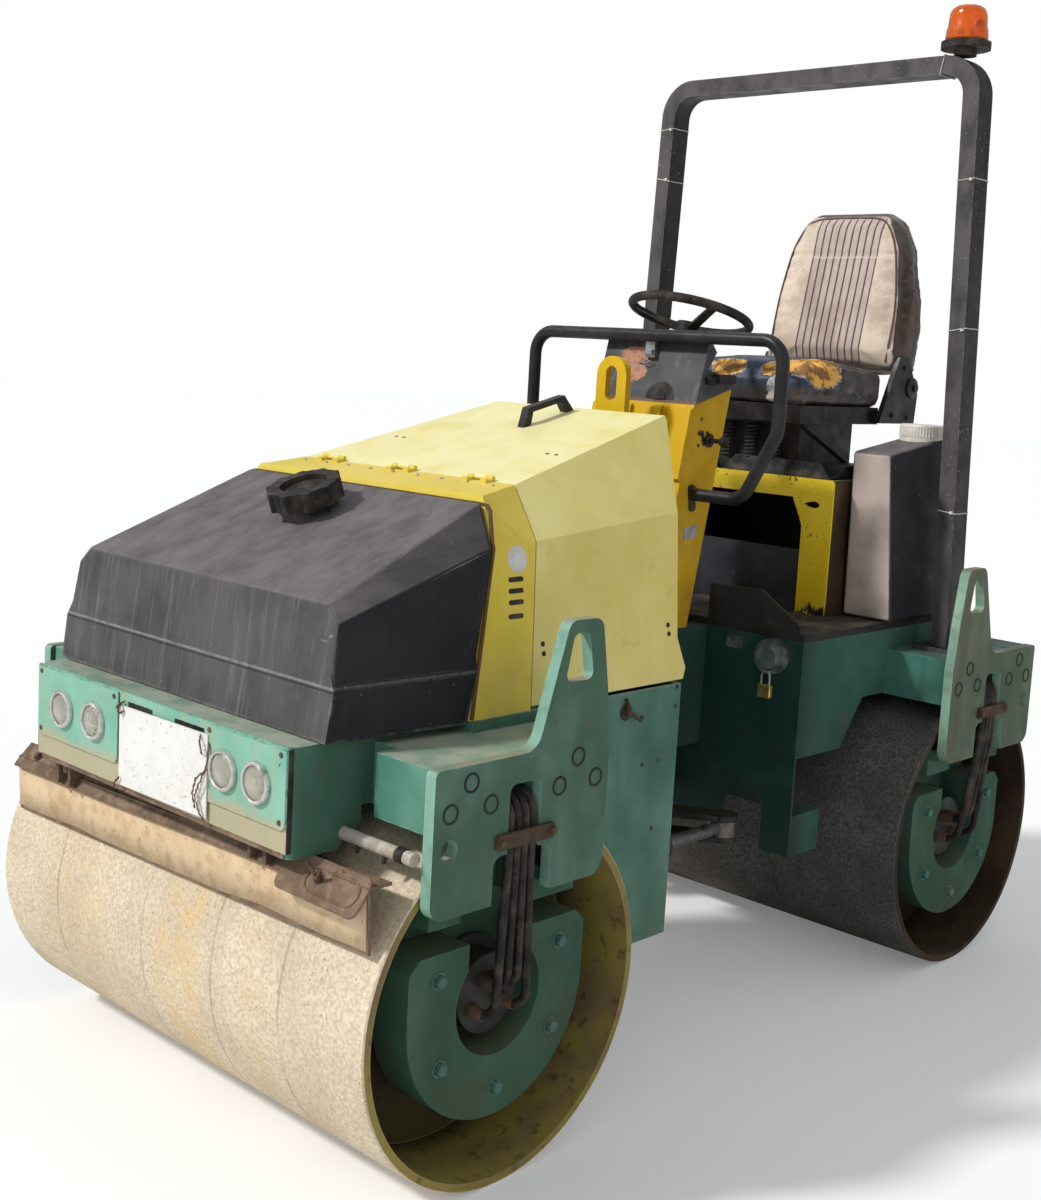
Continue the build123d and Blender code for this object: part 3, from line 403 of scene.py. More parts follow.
def rusty(name, a, b, pale, low=0.35, roughness=0.8):
    """Mottled rust, dried dirt or dirty white, with dark pits."""
    p = Paint(name)
    p.ground(a, b, 9, 7, 0.35, 0.65)
    p.over(pale, p.patch(30, 6, 0.45, 0.65, 3), low)
    p.over((0.045, 0.022, 0.012), p.patch(110, 3, 0.66, 0.7, 5), 0.8)
    p.over(shade(a, 0.5), p.edge(0.003), 0.6)
    p.bump(p.noise(140, 5, 2), 0.0012, 0.6)
    return p.mottled(20, 4, roughness - 0.1, roughness + 0.1)


def bright(name, color, roughness, dirt, metallic=1.0):
    """Bare metal with brown dirt."""
    p = Paint(name, Metallic=metallic, Specular_IOR_Level=0.5)
    p.color = p.blend(p.times(p.patch(40, 5, 0.45, 0.7, 2), dirt), color, (0.16, 0.12, 0.085))
    p.bump(p.noise(200, 3), 0.0003, 0.3)
    return p.mottled(30, 4, roughness, roughness + 0.35)


def rubber(name, color=(0.016, 0.013, 0.012)):
    p = Paint(name, Specular_IOR_Level=0.25)
    p.color = p.blend(p.times(p.patch(25, 6, 0.42, 0.68, 3), 0.5), color, (0.12, 0.09, 0.065))
    p.bump(p.noise(400, 2), 0.0004, 0.4)
    return p.mottled(15, 3, 0.5, 0.75)


def plain_glass(name, color, roughness=0.08):
    p = Paint(name, Specular_IOR_Level=0.5, Transmission_Weight=0.85, IOR=1.46)
    p.color = p.blend(p.times(p.patch(30, 5, 0.4, 0.7), 0.3), color, shade(color, 0.7))
    p.bump(p.noise(60, 2), 0.0006, 0.3)
    return p.mottled(22, 4, roughness, roughness + 0.25)


def blob(p, centre, radii, wobble=0.7, scale=42.0, low=0.85, high=1.05):
    """1 inside a ragged ellipsoid."""
    squares = []
    for place, middle, radius in zip((p.x, p.y, p.z), centre, radii):
        d = p.math("DIVIDE", p.minus(place, middle), radius)
        squares.append(p.times(d, d))
    ragged = p.times(p.minus(p.noise(scale, 4, centre[0]), 0.5), wobble * 2)
    return p.under(p.plus(*squares, ragged), low, high)


def dash_paint():
    """Black dash face: grey wear, orange-brown primer patches, white runs and a rusty lower edge."""
    p = Paint("dash_paint", Specular_IOR_Level=0.5)
    p.ground((0.026, 0.025, 0.027), (0.06, 0.058, 0.06), 9, 6, 0.35, 0.65)
    face = p.under(p.ny, -0.9, -0.6)
    p.over((0.2, 0.18, 0.165), face, p.patch(40, 6, 0.52, 0.7, 4, (1, 1, 0.5)), 0.45)
    p.over((0.012, 0.017, 0.026), p.band(p.z, 1.662, 1.672), 0.7)
    upper = blob(p, (-0.066, 0.195, 1.654), (0.05, 0.2, 0.022))
    primer = p.times(p.most(upper, blob(p, (-0.062, 0.19, 1.608), (0.048, 0.2, 0.024))), face)
    p.over(p.blend(p.patch(60, 5, 0.4, 0.6, 2), (0.5, 0.21, 0.095), (0.33, 0.13, 0.06)), primer)
    rim = blob(p, (-0.064, 0.19, 1.632), (0.064, 0.2, 0.056))
    p.over((0.3, 0.27, 0.25), rim, face, p.patch(70, 4, 0.55, 0.62, 8), 0.5)
    runs = blob(p, (0.118, 0.18, 1.575), (0.06, 0.2, 0.042), 0.3)
    p.over((0.62, 0.6, 0.57), p.patch(150, 3, 0.6, 0.66, 3, (1, 0.2, 0.05)), runs, face, 0.7)
    p.over((0.17, 0.075, 0.035), p.under(p.plus(p.z, p.times(p.noise(60, 3), 0.008)), 1.54, 1.547), 0.8)
    p.over((0.22, 0.2, 0.18), p.edge(0.003), p.patch(45, 4, 0.42, 0.6, 6), 0.5)
    p.bump(primer, 0.0008, -0.6)
    p.bump(p.noise(260, 3), 0.0005, 0.35)
    return p.mottled(18, 4, 0.4, 0.65, 4)


def stand_paint():
    """Yellow face plate with painted shade behind it, near black on the panel and inside and dark brown on the sides,
    with black runs at the feet.
    """
    p = Paint("stand_paint", Specular_IOR_Level=0.4)
    # Painted shade: dark brown for the sides, then near black with some dust for all behind the face plate.
    p.ground((0.04, 0.022, 0.012), (0.09, 0.05, 0.018), 12, 6, 0.4, 0.62, 2, (1, 1, 0.3))
    side = p.color
    p.ground((0.01, 0.012, 0.017), (0.026, 0.028, 0.034), 8, 6, 0.35, 0.68, 3)
    p.over((0.16, 0.14, 0.12), p.patch(30, 6, 0.56, 0.74, 9), 0.25)
    dark = p.color
    p.ground((0.76, 0.53, 0.01), (0.84, 0.62, 0.03), 6, 5, 0.35, 0.65)
    chips = p.times(p.patch(85, 3, 0.62, 0.66, 5), p.patch(7, 3, 0.46, 0.6, 1))
    p.over((0.055, 0.035, 0.02), chips, 0.9)
    foot = p.under(p.plus(p.z, p.times(p.noise(34, 4, 0, (1, 1, 0.4)), 0.09)), 1.015, 1.035)
    p.over((0.02, 0.016, 0.014), foot, p.patch(55, 3, 0.4, 0.46, 2, (1, 1, 0.35)))
    p.over((0.1, 0.06, 0.02), p.patch(50, 4, 0.45, 0.6, 7), p.edge(0.003), 0.8)
    # Behind the face plate: the painted shade, brown on the sides, then the yellow top edge.
    behind = p.band(p.y, 0.6062, 0.6066)
    p.over(dark, behind)
    p.over(side, behind, p.band(p.math("ABSOLUTE", p.x), 0.3335, 0.3345))
    p.over((0.55, 0.38, 0.03), behind, p.band(p.z, 1.3405, 1.3415), 0.55)
    p.bump(p.noise(300, 3), 0.0004, 0.3)
    p.bump(chips, 0.0005, -0.5)
    return p.mottled(14, 4, 0.36, 0.62, 4)


foam_places = (    # centre and radii of each tear in the cushion
    ((0.222, 0.655, 1.65), (0.085, 0.1, 0.062)), ((0.12, 0.565, 1.64), (0.034, 0.04, 0.022)),
    ((-0.03, 0.56, 1.64), (0.062, 0.055, 0.03)), ((-0.045, 0.55, 1.6), (0.05, 0.03, 0.02)),
    ((0.06, 0.8, 1.66), (0.07, 0.08, 0.03)), ((-0.15, 0.7, 1.66), (0.045, 0.06, 0.03)),
)


def torn_vinyl():
    """Navy and charcoal vinyl, torn open over yellow foam, with a strip of silver tape."""
    p = Paint("torn_vinyl", Specular_IOR_Level=0.5)
    p.ground((0.026, 0.022, 0.024), (0.075, 0.058, 0.052), 11, 6, 0.36, 0.66, 5)
    charcoal = p.color
    p.ground((0.8, 0.42, 0.085), (0.24, 0.12, 0.03), 24, 6, 0.46, 0.54, 2)
    p.over((0.8, 0.62, 0.34), p.patch(90, 4, 0.58, 0.68, 3), 0.5)
    foam = p.color
    p.ground((0.016, 0.03, 0.06), (0.028, 0.046, 0.082), 9, 6, 0.38, 0.62)
    rear = p.band(p.plus(p.y, p.times(p.noise(14, 4), 0.08)), 0.64, 0.7)
    p.over(charcoal, p.most(rear, p.under(p.z, 1.575, 1.6)))
    p.over((0.22, 0.19, 0.18), p.patch(30, 6, 0.56, 0.74, 7, (1, 0.4, 1)), 0.35)
    torn = p.most(*(blob(p, centre, radii, 0.45, 30.0, 0.97, 1.03) for centre, radii in foam_places))
    ring = p.most(*(blob(p, centre, shade(radii, 1.1), 0.45, 30.0, 0.9, 1.08) for centre, radii in foam_places))
    p.over((0.58, 0.5, 0.44), ring, p.patch(130, 4, 0.45, 0.6))
    p.over(foam, torn)
    tape = blob(p, (0.15, 0.54, 1.59), (0.034, 0.05, 0.036), 0.5, 60.0, 0.95, 1.0)
    p.over(p.blend(p.patch(70, 3, 0.42, 0.58, 6), (0.42, 0.41, 0.43), (0.12, 0.12, 0.14)), tape)
    p.over((0.6, 0.52, 0.45), blob(p, (0.142, 0.545, 1.556), (0.03, 0.05, 0.018), 0.6, 60.0))
    p.bump(torn, 0.003, -0.8)
    p.bump(p.times(torn, p.noise(60, 5)), 0.004, 0.6)
    p.bump(p.noise(26, 4, 4, (1, 0.35, 1)), 0.004, 0.45)
    p.bump(p.noise(500, 2), 0.0004, 0.4)
    return p.done(p.most(p.patch(20, 4, 0.3, 0.7, span=(0.34, 0.6)), p.times(torn, 0.95)))


def seat_fabric():
    """Beige cloth face with dark pinstripes down its middle panel, brown vinyl round the sides and back."""
    half_panel, stripe_gap, stripes_end, crease_height = 0.1135, 0.0247, 2.09, 1.985
    p = Paint("seat_fabric", Specular_IOR_Level=0.15, Sheen_Weight=0.25)
    p.ground((0.05, 0.034, 0.026), (0.115, 0.08, 0.06), 8, 6, 0.36, 0.64, 6, (1, 1, 0.5))
    p.over((0.21, 0.165, 0.13), p.patch(45, 5, 0.56, 0.7, 3), 0.4)
    vinyl = p.color
    lean = p.minus(p.x, p.times(p.minus(p.z, 1.715), 0.05))
    depth = p.minus(p.y, p.plus(0.985, p.times(p.minus(p.z, 1.7), 0.153)))
    front = p.times(p.under(p.ny, -0.62, -0.45), p.under(depth, 0.02, 0.028))
    p.ground((0.8, 0.655, 0.535), (0.69, 0.56, 0.455), 5, 6, 0.34, 0.66)
    panel = p.between(lean, seat_middle - half_panel, seat_middle + half_panel, 0.0015)
    weave = p.blend(p.patch(80, 5, 0.4, 0.6, 0, (1, 1, 0.12)), (0.55, 0.445, 0.42), (0.46, 0.365, 0.35))
    p.over(weave, panel, 0.75)
    p.over((0.3, 0.22, 0.16), p.patch(7, 7, 0.5, 0.68, 4), 0.45)
    p.over((0.25, 0.18, 0.14), p.patch(260, 3, 0.45, 0.6, 2), 0.16)
    p.over((0.3, 0.21, 0.15), p.under(p.z, 1.66, 1.76), 0.35)
    phase = p.math("DIVIDE", p.minus(lean, seat_middle - 4.5 * stripe_gap), stripe_gap)
    away = p.math("ABSOLUTE", p.minus(phase, p.math("ROUND", phase)))
    stripe = p.times(p.under(away, 0.09, 0.13), panel, p.under(p.z, stripes_end, stripes_end + 0.008))
    p.over((0.065, 0.035, 0.025), stripe, 0.92)
    sag = p.minus(p.plus(p.z, p.times(p.noise(9, 3), 0.01)), crease_height)
    crease = p.under(p.math("ABSOLUTE", sag), 0.0012, 0.0035)
    p.over((0.72, 0.63, 0.55), crease, 0.5)
    p.color = p.blend(front, vinyl, p.color)
    p.bump(p.times(stripe, front), 0.0016, -0.9)
    p.bump(p.times(crease, front), 0.002, -0.6)
    p.bump(p.noise(620, 2), 0.0005, 0.5)
    p.bump(p.noise(14, 4, 3), 0.003, 0.25)
    return p.done(p.band(front, 0, 1, 0.5, 0.93))


bare_rust = (0.085, 0.045, 0.022)
# In the enamels below, sides gives painted shade on the faces turned to ±x, the front-face amount gives painted light
# on front faces, and the front-wall y gives painted shade on the rear frame's front wall.
mats = {
    "frame": enamel("frame_paint", (0.07, 0.205, 0.15), (0.135, 0.315, 0.235), bare_rust, chips=0.7, dusty=0.75,
                    edge=0.9, grime=0.7, sides=0.6, dust=(0.46, 0.45, 0.35)),
    "plates": enamel("plate_paint", (0.085, 0.215, 0.16), (0.15, 0.31, 0.235), (0.03, 0.03, 0.025), chips=0.6,
                     dusty=0.8, edge=1.0, sides=0.75, painted_front_light=0.6),
    "rear_plates": enamel("rear_plate_paint", (0.115, 0.185, 0.13), (0.21, 0.225, 0.15), bare_rust, chips=0.9,
                          edge=1.0, grime=0.9, sides=0.6, painted_front_light=0.8),
    "shoes": enamel("carrier_paint", (0.042, 0.12, 0.079), (0.068, 0.165, 0.113), (0.018, 0.02, 0.016), chips=1.0,
                    dusty=0.4, edge=0.7, grime=0.8, low_dirt=(0.1, 0.6), dust=(0.22, 0.16, 0.09), sides=0.5),
    "rear_frame": enamel("rear_frame_paint", (0.028, 0.115, 0.092), (0.065, 0.19, 0.145), (0.03, 0.022, 0.016),
                         chips=0.8, dusty=0.45, edge=0.8, grime=1.0, low_dirt=(0.45, 0.95), dust=(0.13, 0.115, 0.09),
                         sides=0.4, front_shade_y=0.4),
    "panel": panel_paint(),
    # The hood's dust is a pale yellow, so its tops come out paler: part dust, part painted light.
    "hood": enamel("hood_paint", (0.78, 0.66, 0.185), (0.86, 0.77, 0.3), (0.4, 0.31, 0.12), chips=0.2, dusty=0.55,
                   low_dirt=(0.8, 1.05), grime=0.2, edge=0.35, dust=(0.92, 0.89, 0.56), roughness=0.42, sides=0.22),
    "cover": enamel("cover_paint", (0.68, 0.52, 0.035), (0.78, 0.6, 0.09), (0.1, 0.07, 0.03), chips=0.35,
                    dusty=0.25, low_dirt=(0.9, 1.15), grime=0.3, edge=0.3, dust=(0.72, 0.55, 0.28), roughness=0.42),
    "yellow": enamel("yellow_paint", (0.68, 0.41, 0.002), (0.77, 0.49, 0.006), (0.07, 0.045, 0.02), chips=0.8,
                     sides=0.55, dusty=0.15, low_dirt=(0.95, 1.35), grime=0.6, dust=(0.32, 0.24, 0.13),
                     roughness=0.38),
    "front_drum": drum_steel("front_drum_steel", -axle, (0.66, 0.54, 0.385), (0.8, 0.68, 0.5), (0.72, 0.48, 0.2),
                             ((0.0, 0.13, 0.75), (0.27, 0.33, 0.35), (-0.45, -0.2, 0.3)), (-0.41, -0.07, 0.18, 0.4),
                             (0.3, 0.235, 0.055), (0.2, 0.14, 0.07), 0.6, 0.55),
    "rear_drum": drum_steel("rear_drum_steel", axle, (0.088, 0.087, 0.08), (0.15, 0.144, 0.128),
                            (0.15, 0.1, 0.055), ((-0.6, 0.1, 0.7),), (-0.3, 0.25),
                            (0.035, 0.022, 0.013), (0.075, 0.047, 0.025), 0.0, 0.9),
    "tank": tank_plastic("tank_plastic", 1.0),
    "side_tank": tank_plastic("side_tank_plastic", 0.3, 1.0),
    "black": dark_metal("black_paint", (0.009, 0.008, 0.009), 0.25, 0.25, 0.42, (0.2, 0.17, 0.15)),
    "rops": hoop_paint(),
    "deck": dark_metal("deck_paint", (0.012, 0.011, 0.011), 0.6, 0.5, 0.7, (0.11, 0.085, 0.06)),
    "greasy": dark_metal("greasy_metal", (0.016, 0.015, 0.014), 0.35, 0.4, 0.42, (0.1, 0.075, 0.05)),
    "clamp": rusty("clamp_rust", (0.055, 0.035, 0.022), (0.085, 0.052, 0.032), (0.15, 0.1, 0.06)),
    "scraper": rusty("scraper_rust", (0.14, 0.085, 0.055), (0.21, 0.135, 0.088), (0.34, 0.24, 0.155), 0.55),
    "blade": rusty("blade_dust", (0.66, 0.48, 0.29), (0.74, 0.56, 0.36), (0.48, 0.32, 0.17), 0.6),
    "bolt": rusty("bolt_rust", (0.09, 0.052, 0.032), (0.13, 0.08, 0.05), (0.22, 0.16, 0.1)),
    "shoe_bolt": enamel("shoe_bolt_paint", (0.035, 0.125, 0.105), (0.06, 0.18, 0.14), (0.03, 0.02, 0.015), chips=0.8,
                        dusty=0.3),
    "ring": rusty("ring_paint", (0.02, 0.026, 0.023), (0.035, 0.042, 0.036), (0.05, 0.05, 0.04), 0.3),
    "white": rusty("plate_white", (0.78, 0.76, 0.71), (0.84, 0.83, 0.79), (0.62, 0.53, 0.42), 0.18),
    "bar": rusty("bar_white", (0.5, 0.44, 0.38), (0.62, 0.56, 0.5), (0.3, 0.22, 0.16), 0.6),
    "chrome": bright("lamp_chrome", (0.72, 0.7, 0.66), 0.22, 0.55),
    "reflector": bright("lamp_reflector", (0.95, 0.92, 0.8), 0.35, 0.25, 0.5),
    "rod": bright("rod_chrome", (0.2, 0.19, 0.18), 0.35, 0.8),
    "brass": bright("padlock_brass", (0.66, 0.45, 0.15), 0.3, 0.45),
    "steel": bright("steel_worn", (0.36, 0.37, 0.38), 0.35, 0.6),
    "mirror": bright("beacon_mirror", (0.95, 0.66, 0.22), 0.15, 0.1),
    "lens": plain_glass("lamp_lens", (0.93, 0.93, 0.86)),
    "amber": plain_glass("amber_lens", (0.95, 0.3, 0.02), 0.12),
    "hose": rubber("hose_rubber"),
    "wheel": rubber("wheel_plastic", (0.014, 0.013, 0.013)),
    "cap": rubber("cap_plastic", (0.016, 0.015, 0.016)),
    "gasket": rubber("gasket_brown", (0.1, 0.05, 0.022)),
    "navy": rubber("navy_paint", (0.006, 0.007, 0.009)),
    "piping": rubber("piping_brown", (0.11, 0.075, 0.055)),
    "tie": rusty("cable_tie", (0.62, 0.6, 0.54), (0.7, 0.68, 0.62), (0.4, 0.35, 0.3), 0.4),
    "whitecap": rusty("white_cap", (0.72, 0.68, 0.6), (0.8, 0.77, 0.7), (0.52, 0.43, 0.32), 0.45, 0.5),
    "wire": rusty("wire_rust", (0.14, 0.06, 0.035), (0.2, 0.1, 0.06), (0.28, 0.2, 0.13)),
    "sticker": rusty("sticker_blank", (0.58, 0.58, 0.54), (0.7, 0.69, 0.63), (0.3, 0.28, 0.22), 0.3, 0.5),
    "label": rusty("label_grey", (0.3, 0.29, 0.27), (0.42, 0.41, 0.38), (0.12, 0.1, 0.08), 0.5, 0.5),
    "dash": dash_paint(),
    "stand": stand_paint(),
    "vinyl": torn_vinyl(),
    "fabric": seat_fabric(),
}

finishes = {
    "frame": "front_frame", "plates": "front_side_plates", "shoes": "front_carriers rear_carriers",
    "greasy": "front_hub_motors rear_hub_motors engine pivot_link cylinder_barrel",
    "hose": "front_hoses rear_hoses", "clamp": "front_hose_clamps rear_hose_clamps",
    "bar": "front_spray_bar rear_spray_bar", "scraper": "front_scraper rear_scraper",
    "panel": "front_panel rear_panel", "chrome": "front_lamps rear_lamps", "white": "blank_plate",
    "tank": "water_tank", "cap": "tank_cap control_levers beacon_base", "cover": "hood_cover", "hood": "hood",
    "black": "hood_handle seat_base seat_cushion seat_back steering_column guard_rail",
    "front_drum": "front_drum", "rear_drum": "rear_drum", "rear_frame": "rear_frame",
    "rear_plates": "rear_side_plates", "deck": "platform", "stand": "seat_stand", "side_tank": "side_tanks",
    "whitecap": "side_tank_cap", "yellow": "console lifting_eye", "dash": "instrument_hood",
    "rops": "rops rops_feet", "amber": "beacon_lens", "steel": "filler_cap", "wheel": "steering_wheel",
    "rod": "cylinder_rod",
}
for key, names in finishes.items():
    for name in names.split():
        data = nodes[name].data
        data.materials.clear()
        data.materials.append(mats[key])


# ---- mesh helpers ----

def polar(radius, degrees):
    return radius * math.cos(math.radians(degrees)), radius * math.sin(math.radians(degrees))


def turn(axis, centre):
    """A matrix whose z runs along the axis, from the centre."""
    return Matrix.Translation(centre) @ Vector(axis).to_track_quat("Z", "Y").to_matrix().to_4x4()


def level(m):
    """The same matrix turned about its z, so that its x looks along world X."""
    across = m.inverted().to_3x3() @ Vector((1, 0, 0))
    return m @ Matrix.Rotation(math.atan2(across.y, across.x), 4, "Z")


def shifted(m, *place):
    return m @ Matrix.Translation(place)


def rounded(w, h, r, steps=5):
    """Outline of a rounded rectangle from its half sizes and corner radius."""
    points = []
    for cx, cy, start in ((w - r, h - r, 0), (r - w, h - r, 90), (r - w, r - h, 180), (w - r, r - h, 270)):
        for k in range(steps + 1):
            x, y = polar(r, start + 90 * k / steps)
            points.append((cx + x, cy + y))
    return points


def toothed(outer, inner, teeth):
    """Outline of a ribbed disc."""
    return [polar(outer if k % 2 else inner, 180 * k / teeth) for k in range(2 * teeth)]


def wavy(points, amount, steps=10, seed=0.0):
    """Bends a polyline into a hand-twisted wire, the same way each time."""
    out = []
    for a, b in zip(points, points[1:]):
        for k in range(steps):
            w = (len(out) + seed) * 1.9
            bend = Vector((math.sin(w), 0.4 * math.cos(w * 1.3), math.cos(w))) * amount
            out.append(Vector(a).lerp(Vector(b), k / steps) + bend)
    return out + [Vector(points[-1])]


class Shape:
    """A mesh under construction; piece() makes it an object that rides on a body."""

    def __init__(self):
        self.bm = bmesh.new()

    def verts(self, points):
        return [self.bm.verts.new(point) for point in points]

    def face(self, *points):
        self.bm.faces.new(self.verts(points))

    def skin(self, rows):
        """Quads between rows of points."""
        rows = [self.verts(row) for row in rows]
        for a, b in zip(rows, rows[1:]):
            for k in range(len(a) - 1):
                self.bm.faces.new((a[k], b[k], b[k + 1], a[k + 1]))

    def lathe(self, matrix, profile, steps=32):
        """Revolves (radius, height) points about the matrix's z."""
        rings = []
        for radius, height in profile:
            turns = steps if radius else 1
            rings.append(self.verts(matrix @ Vector((*polar(radius, 360 * k / steps), height)) for k in range(turns)))
        for low, high in zip(rings, rings[1:]):
            for k in range(steps):
                corners = (low[k % len(low)], low[(k + 1) % len(low)], high[(k + 1) % len(high)], high[k % len(high)])
                corners = list(dict.fromkeys(corners))
                if len(corners) > 2:
                    self.bm.faces.new(corners)

    def ring(self, matrix, major, minor):
        circle = [polar(minor, 45 * k) for k in range(9)]
        self.lathe(matrix, [(major + out, up) for out, up in circle], 28)

    def prism(self, matrix, outline, depth):
        """Extrudes (x, y) points from z = 0 to the depth."""
        low, high = (self.verts(matrix @ Vector((x, y, z)) for x, y in outline) for z in (0, depth))
        self.bm.faces.new(low[::-1])
        self.bm.faces.new(high)
        for k in range(len(outline)):
            self.bm.faces.new((low[k - 1], low[k], high[k], high[k - 1]))

    def box(self, a, b):
        """A box between any two opposite corners."""
        (x0, x1), (y0, y1), (z0, z1) = (sorted(pair) for pair in zip(a, b))
        self.prism(Matrix.Translation((0, 0, z0)), [(x0, y0), (x1, y0), (x1, y1), (x0, y1)], z1 - z0)

    def bolt(self, axis, centre, radius, height):
        """Hexagon head with a washer and a chamfered top."""
        m = turn(axis, centre)
        washer = height * 0.15
        self.lathe(m, [(0, 0), (radius * 1.35, 0), (radius * 1.35, washer), (radius, washer)], 24)
        self.lathe(m, [(radius, washer), (radius, height * 0.85), (radius * 0.86, height), (0, height)], 6)

    def tube(self, points, radius, sides=8):
        """A round wire along points already dense enough."""
        points = [Vector(point) for point in points]
        rings = []
        for k, point in enumerate(points):
            ahead = points[min(k + 1, len(points) - 1)] - points[max(k - 1, 0)]
            side = ahead.cross(Vector((0.31, 0.55, 0.77))).normalized()
            other = ahead.cross(side).normalized()
            spots = (polar(radius, 360 * n / sides) for n in range(sides))
            rings.append(self.verts(point + side * a + other * b for a, b in spots))
        for low, high in zip(rings, rings[1:]):
            for n in range(sides):
                self.bm.faces.new((low[n - 1], low[n], high[n], high[n - 1]))
        self.bm.faces.new(rings[0][::-1])
        self.bm.faces.new(rings[-1])

    def piece(self, name, key, body, bevel=0.0, smooth=True, thick=0.0, offset=-1.0):
        """Ends the mesh: a bevel's width or a sheet's thickness where they are given."""
        bmesh.ops.recalc_face_normals(self.bm, faces=self.bm.faces)
        mesh = bpy.data.meshes.new(name)
        self.bm.to_mesh(mesh)
        self.bm.free()
        mesh.materials.append(mats[key])
        obj = bpy.data.objects.new(name, mesh)
        scene.collection.objects.link(obj)
        if bevel:
            modifier = obj.modifiers.new("bevel", "BEVEL")
            modifier.width, modifier.segments, modifier.limit_method = bevel, 2, "ANGLE"
        if smooth:
            mesh.shade_smooth()
            mesh.set_sharp_from_angle(angle=math.radians(38))
        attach(obj, body)
        if thick:
            modifier = obj.modifiers.new("thick", "SOLIDIFY")
            modifier.thickness, modifier.offset = thick, offset
        return obj


# ---- trim of both halves ----

def weld_rings(end, word, half):
    """Painted circles round the plug welds of the side plates."""
    s = Shape()
    for side in (-1, 1):
        for out, z in ((0.171, 0.856), (0.117, 0.806), (0.221, 0.805),
                       (-0.121, 0.861), (-0.07, 0.81), (-0.176, 0.811)):
            s.ring(turn((side, 0, 0), (side * plate_face, at(end, out), z)), 0.0175, 0.0024)
    s.piece(word + "_weld_rings", "ring", half)


def shoe_bolts(end, word, half):
    """Bolts through the horseshoes into the motor flange."""
    s = Shape()
    for side in (-1, 1):
        for degrees in (25, 155, 213, 270, 327):
            out, up = polar(0.185, degrees)
            s.bolt((side, 0, 0), (side * shoe_face, at(end, out), axle_height + up), 0.013, 0.014)
    s.piece(word + "_shoe_bolts", "shoe_bolt", half)


def hose_fittings(end, word, half):
    """Crimped ends and nuts where the hoses meet the motors, and the bolts of the hose clamps."""
    s = Shape()
    for side in (-1, 1):
        for out, z in ((-0.042, 0.352), (-0.014, 0.404), (0.016, 0.404), (0.044, 0.352)):
            m = turn((side, 0, 0), (side * 0.588, at(end, out), z))
            s.lathe(m, [(0, 0), (0.0145, 0), (0.0145, 0.012), (0.0125, 0.014)], 6)
            s.lathe(m, [(0.0125, 0.014), (0.0118, 0.016), (0.0118, 0.034), (0.0105, 0.036), (0.0094, 0.036)])
        for out in (-0.047, 0.093):
            s.bolt((side, 0, 0), (side * 0.693, at(end, out), 0.728), 0.0085, 0.009)
    s.piece(word + "_hose_fittings", "bolt", half)


def lamps(end, word, half):
    """Round work lamps: chrome bezel, double lens over a bright bowl."""
    bezel, bowl, lens = Shape(), Shape(), Shape()
    for x in (-0.339, -0.212, 0.255, 0.36) if end < 0 else (-0.352, 0.352):
        m = turn((0, end, 0), (x, at(end, lamp_out), 0.82))
        bezel.lathe(m, [(0.036, 0), (0.037, 0.009), (0.0418, 0.0095), (0.0418, 0.0135), (0.04, 0.018),
                        (0.0365, 0.0195), (0.0335, 0.018), (0.0322, 0.012), (0.0322, 0.002)], 40)
        bowl.lathe(m, [(0.0325, 0.013), (0.028, 0.007), (0.018, 0.003), (0.006, 0.0015), (0.006, 0.006), (0, 0.007)])
        for rise in (0, 0.0015):
            lens.lathe(m, [(0.032, 0.013 + rise), (0.027, 0.017 + rise), (0.015, 0.0195 + rise), (0, 0.0203 + rise)])
    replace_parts(bezel.piece(word + "_lamp_bezels", "chrome", half), word + "_lamps")
    bowl.piece(word + "_lamp_bowls", "reflector", half)
    lens.piece(word + "_lamp_lenses", "lens", half)


def spray_caps(end, word, half):
    """Black end caps and nozzles of the spray bars."""
    s = Shape()
    for side in (-1, 1):
        s.lathe(turn((side, 0, 0), (side * 0.622, at(end, 0.272), 0.72)),
                [(0.0132, -0.016), (0.015, -0.015), (0.015, 0.004), (0.0125, 0.007), (0.0128, 0.018), (0.011, 0.02),
                 (0, 0.02)], 24)
        for x in (0.5, 0.575):
            s.lathe(turn((0, end * 0.35, -1), (side * x, at(end, 0.272), 0.72)),
                    [(0.006, 0.008), (0.006, 0.017), (0.0045, 0.018), (0.0045, 0.026), (0, 0.0265)], 12)
    s.piece(word + "_spray_caps", "cap", half)


def scraper_dust(end, word, half):
    """Dried dirt on the blade's face, ending in a ragged line; the front blade stands 1.5 degrees askew."""
    half_length, steps = 0.622, 40
    askew = math.tan(math.radians(1.5)) if end < 0 else 0.0
    y = at(end, 0.359)
    rows = []
    for k in range(steps + 1):
        x = half_length * (2 * k / steps - 1)
        ragged = max(0, 0.004 * math.sin(7 * x + end) + 0.0025 * math.sin(19 * x + 2))
        lift = askew * x
        rows.append([(x, y, 0.6525 + lift), (x, y - end * 0.0025, 0.6 + lift),
                     (x, y - end * 0.0052, 0.541 + lift + ragged)])
    s = Shape()
    s.skin(rows)
    s.piece(word + "_scraper_dust", "blade" if end < 0 else "scraper", half, thick=0.0012, offset=0)


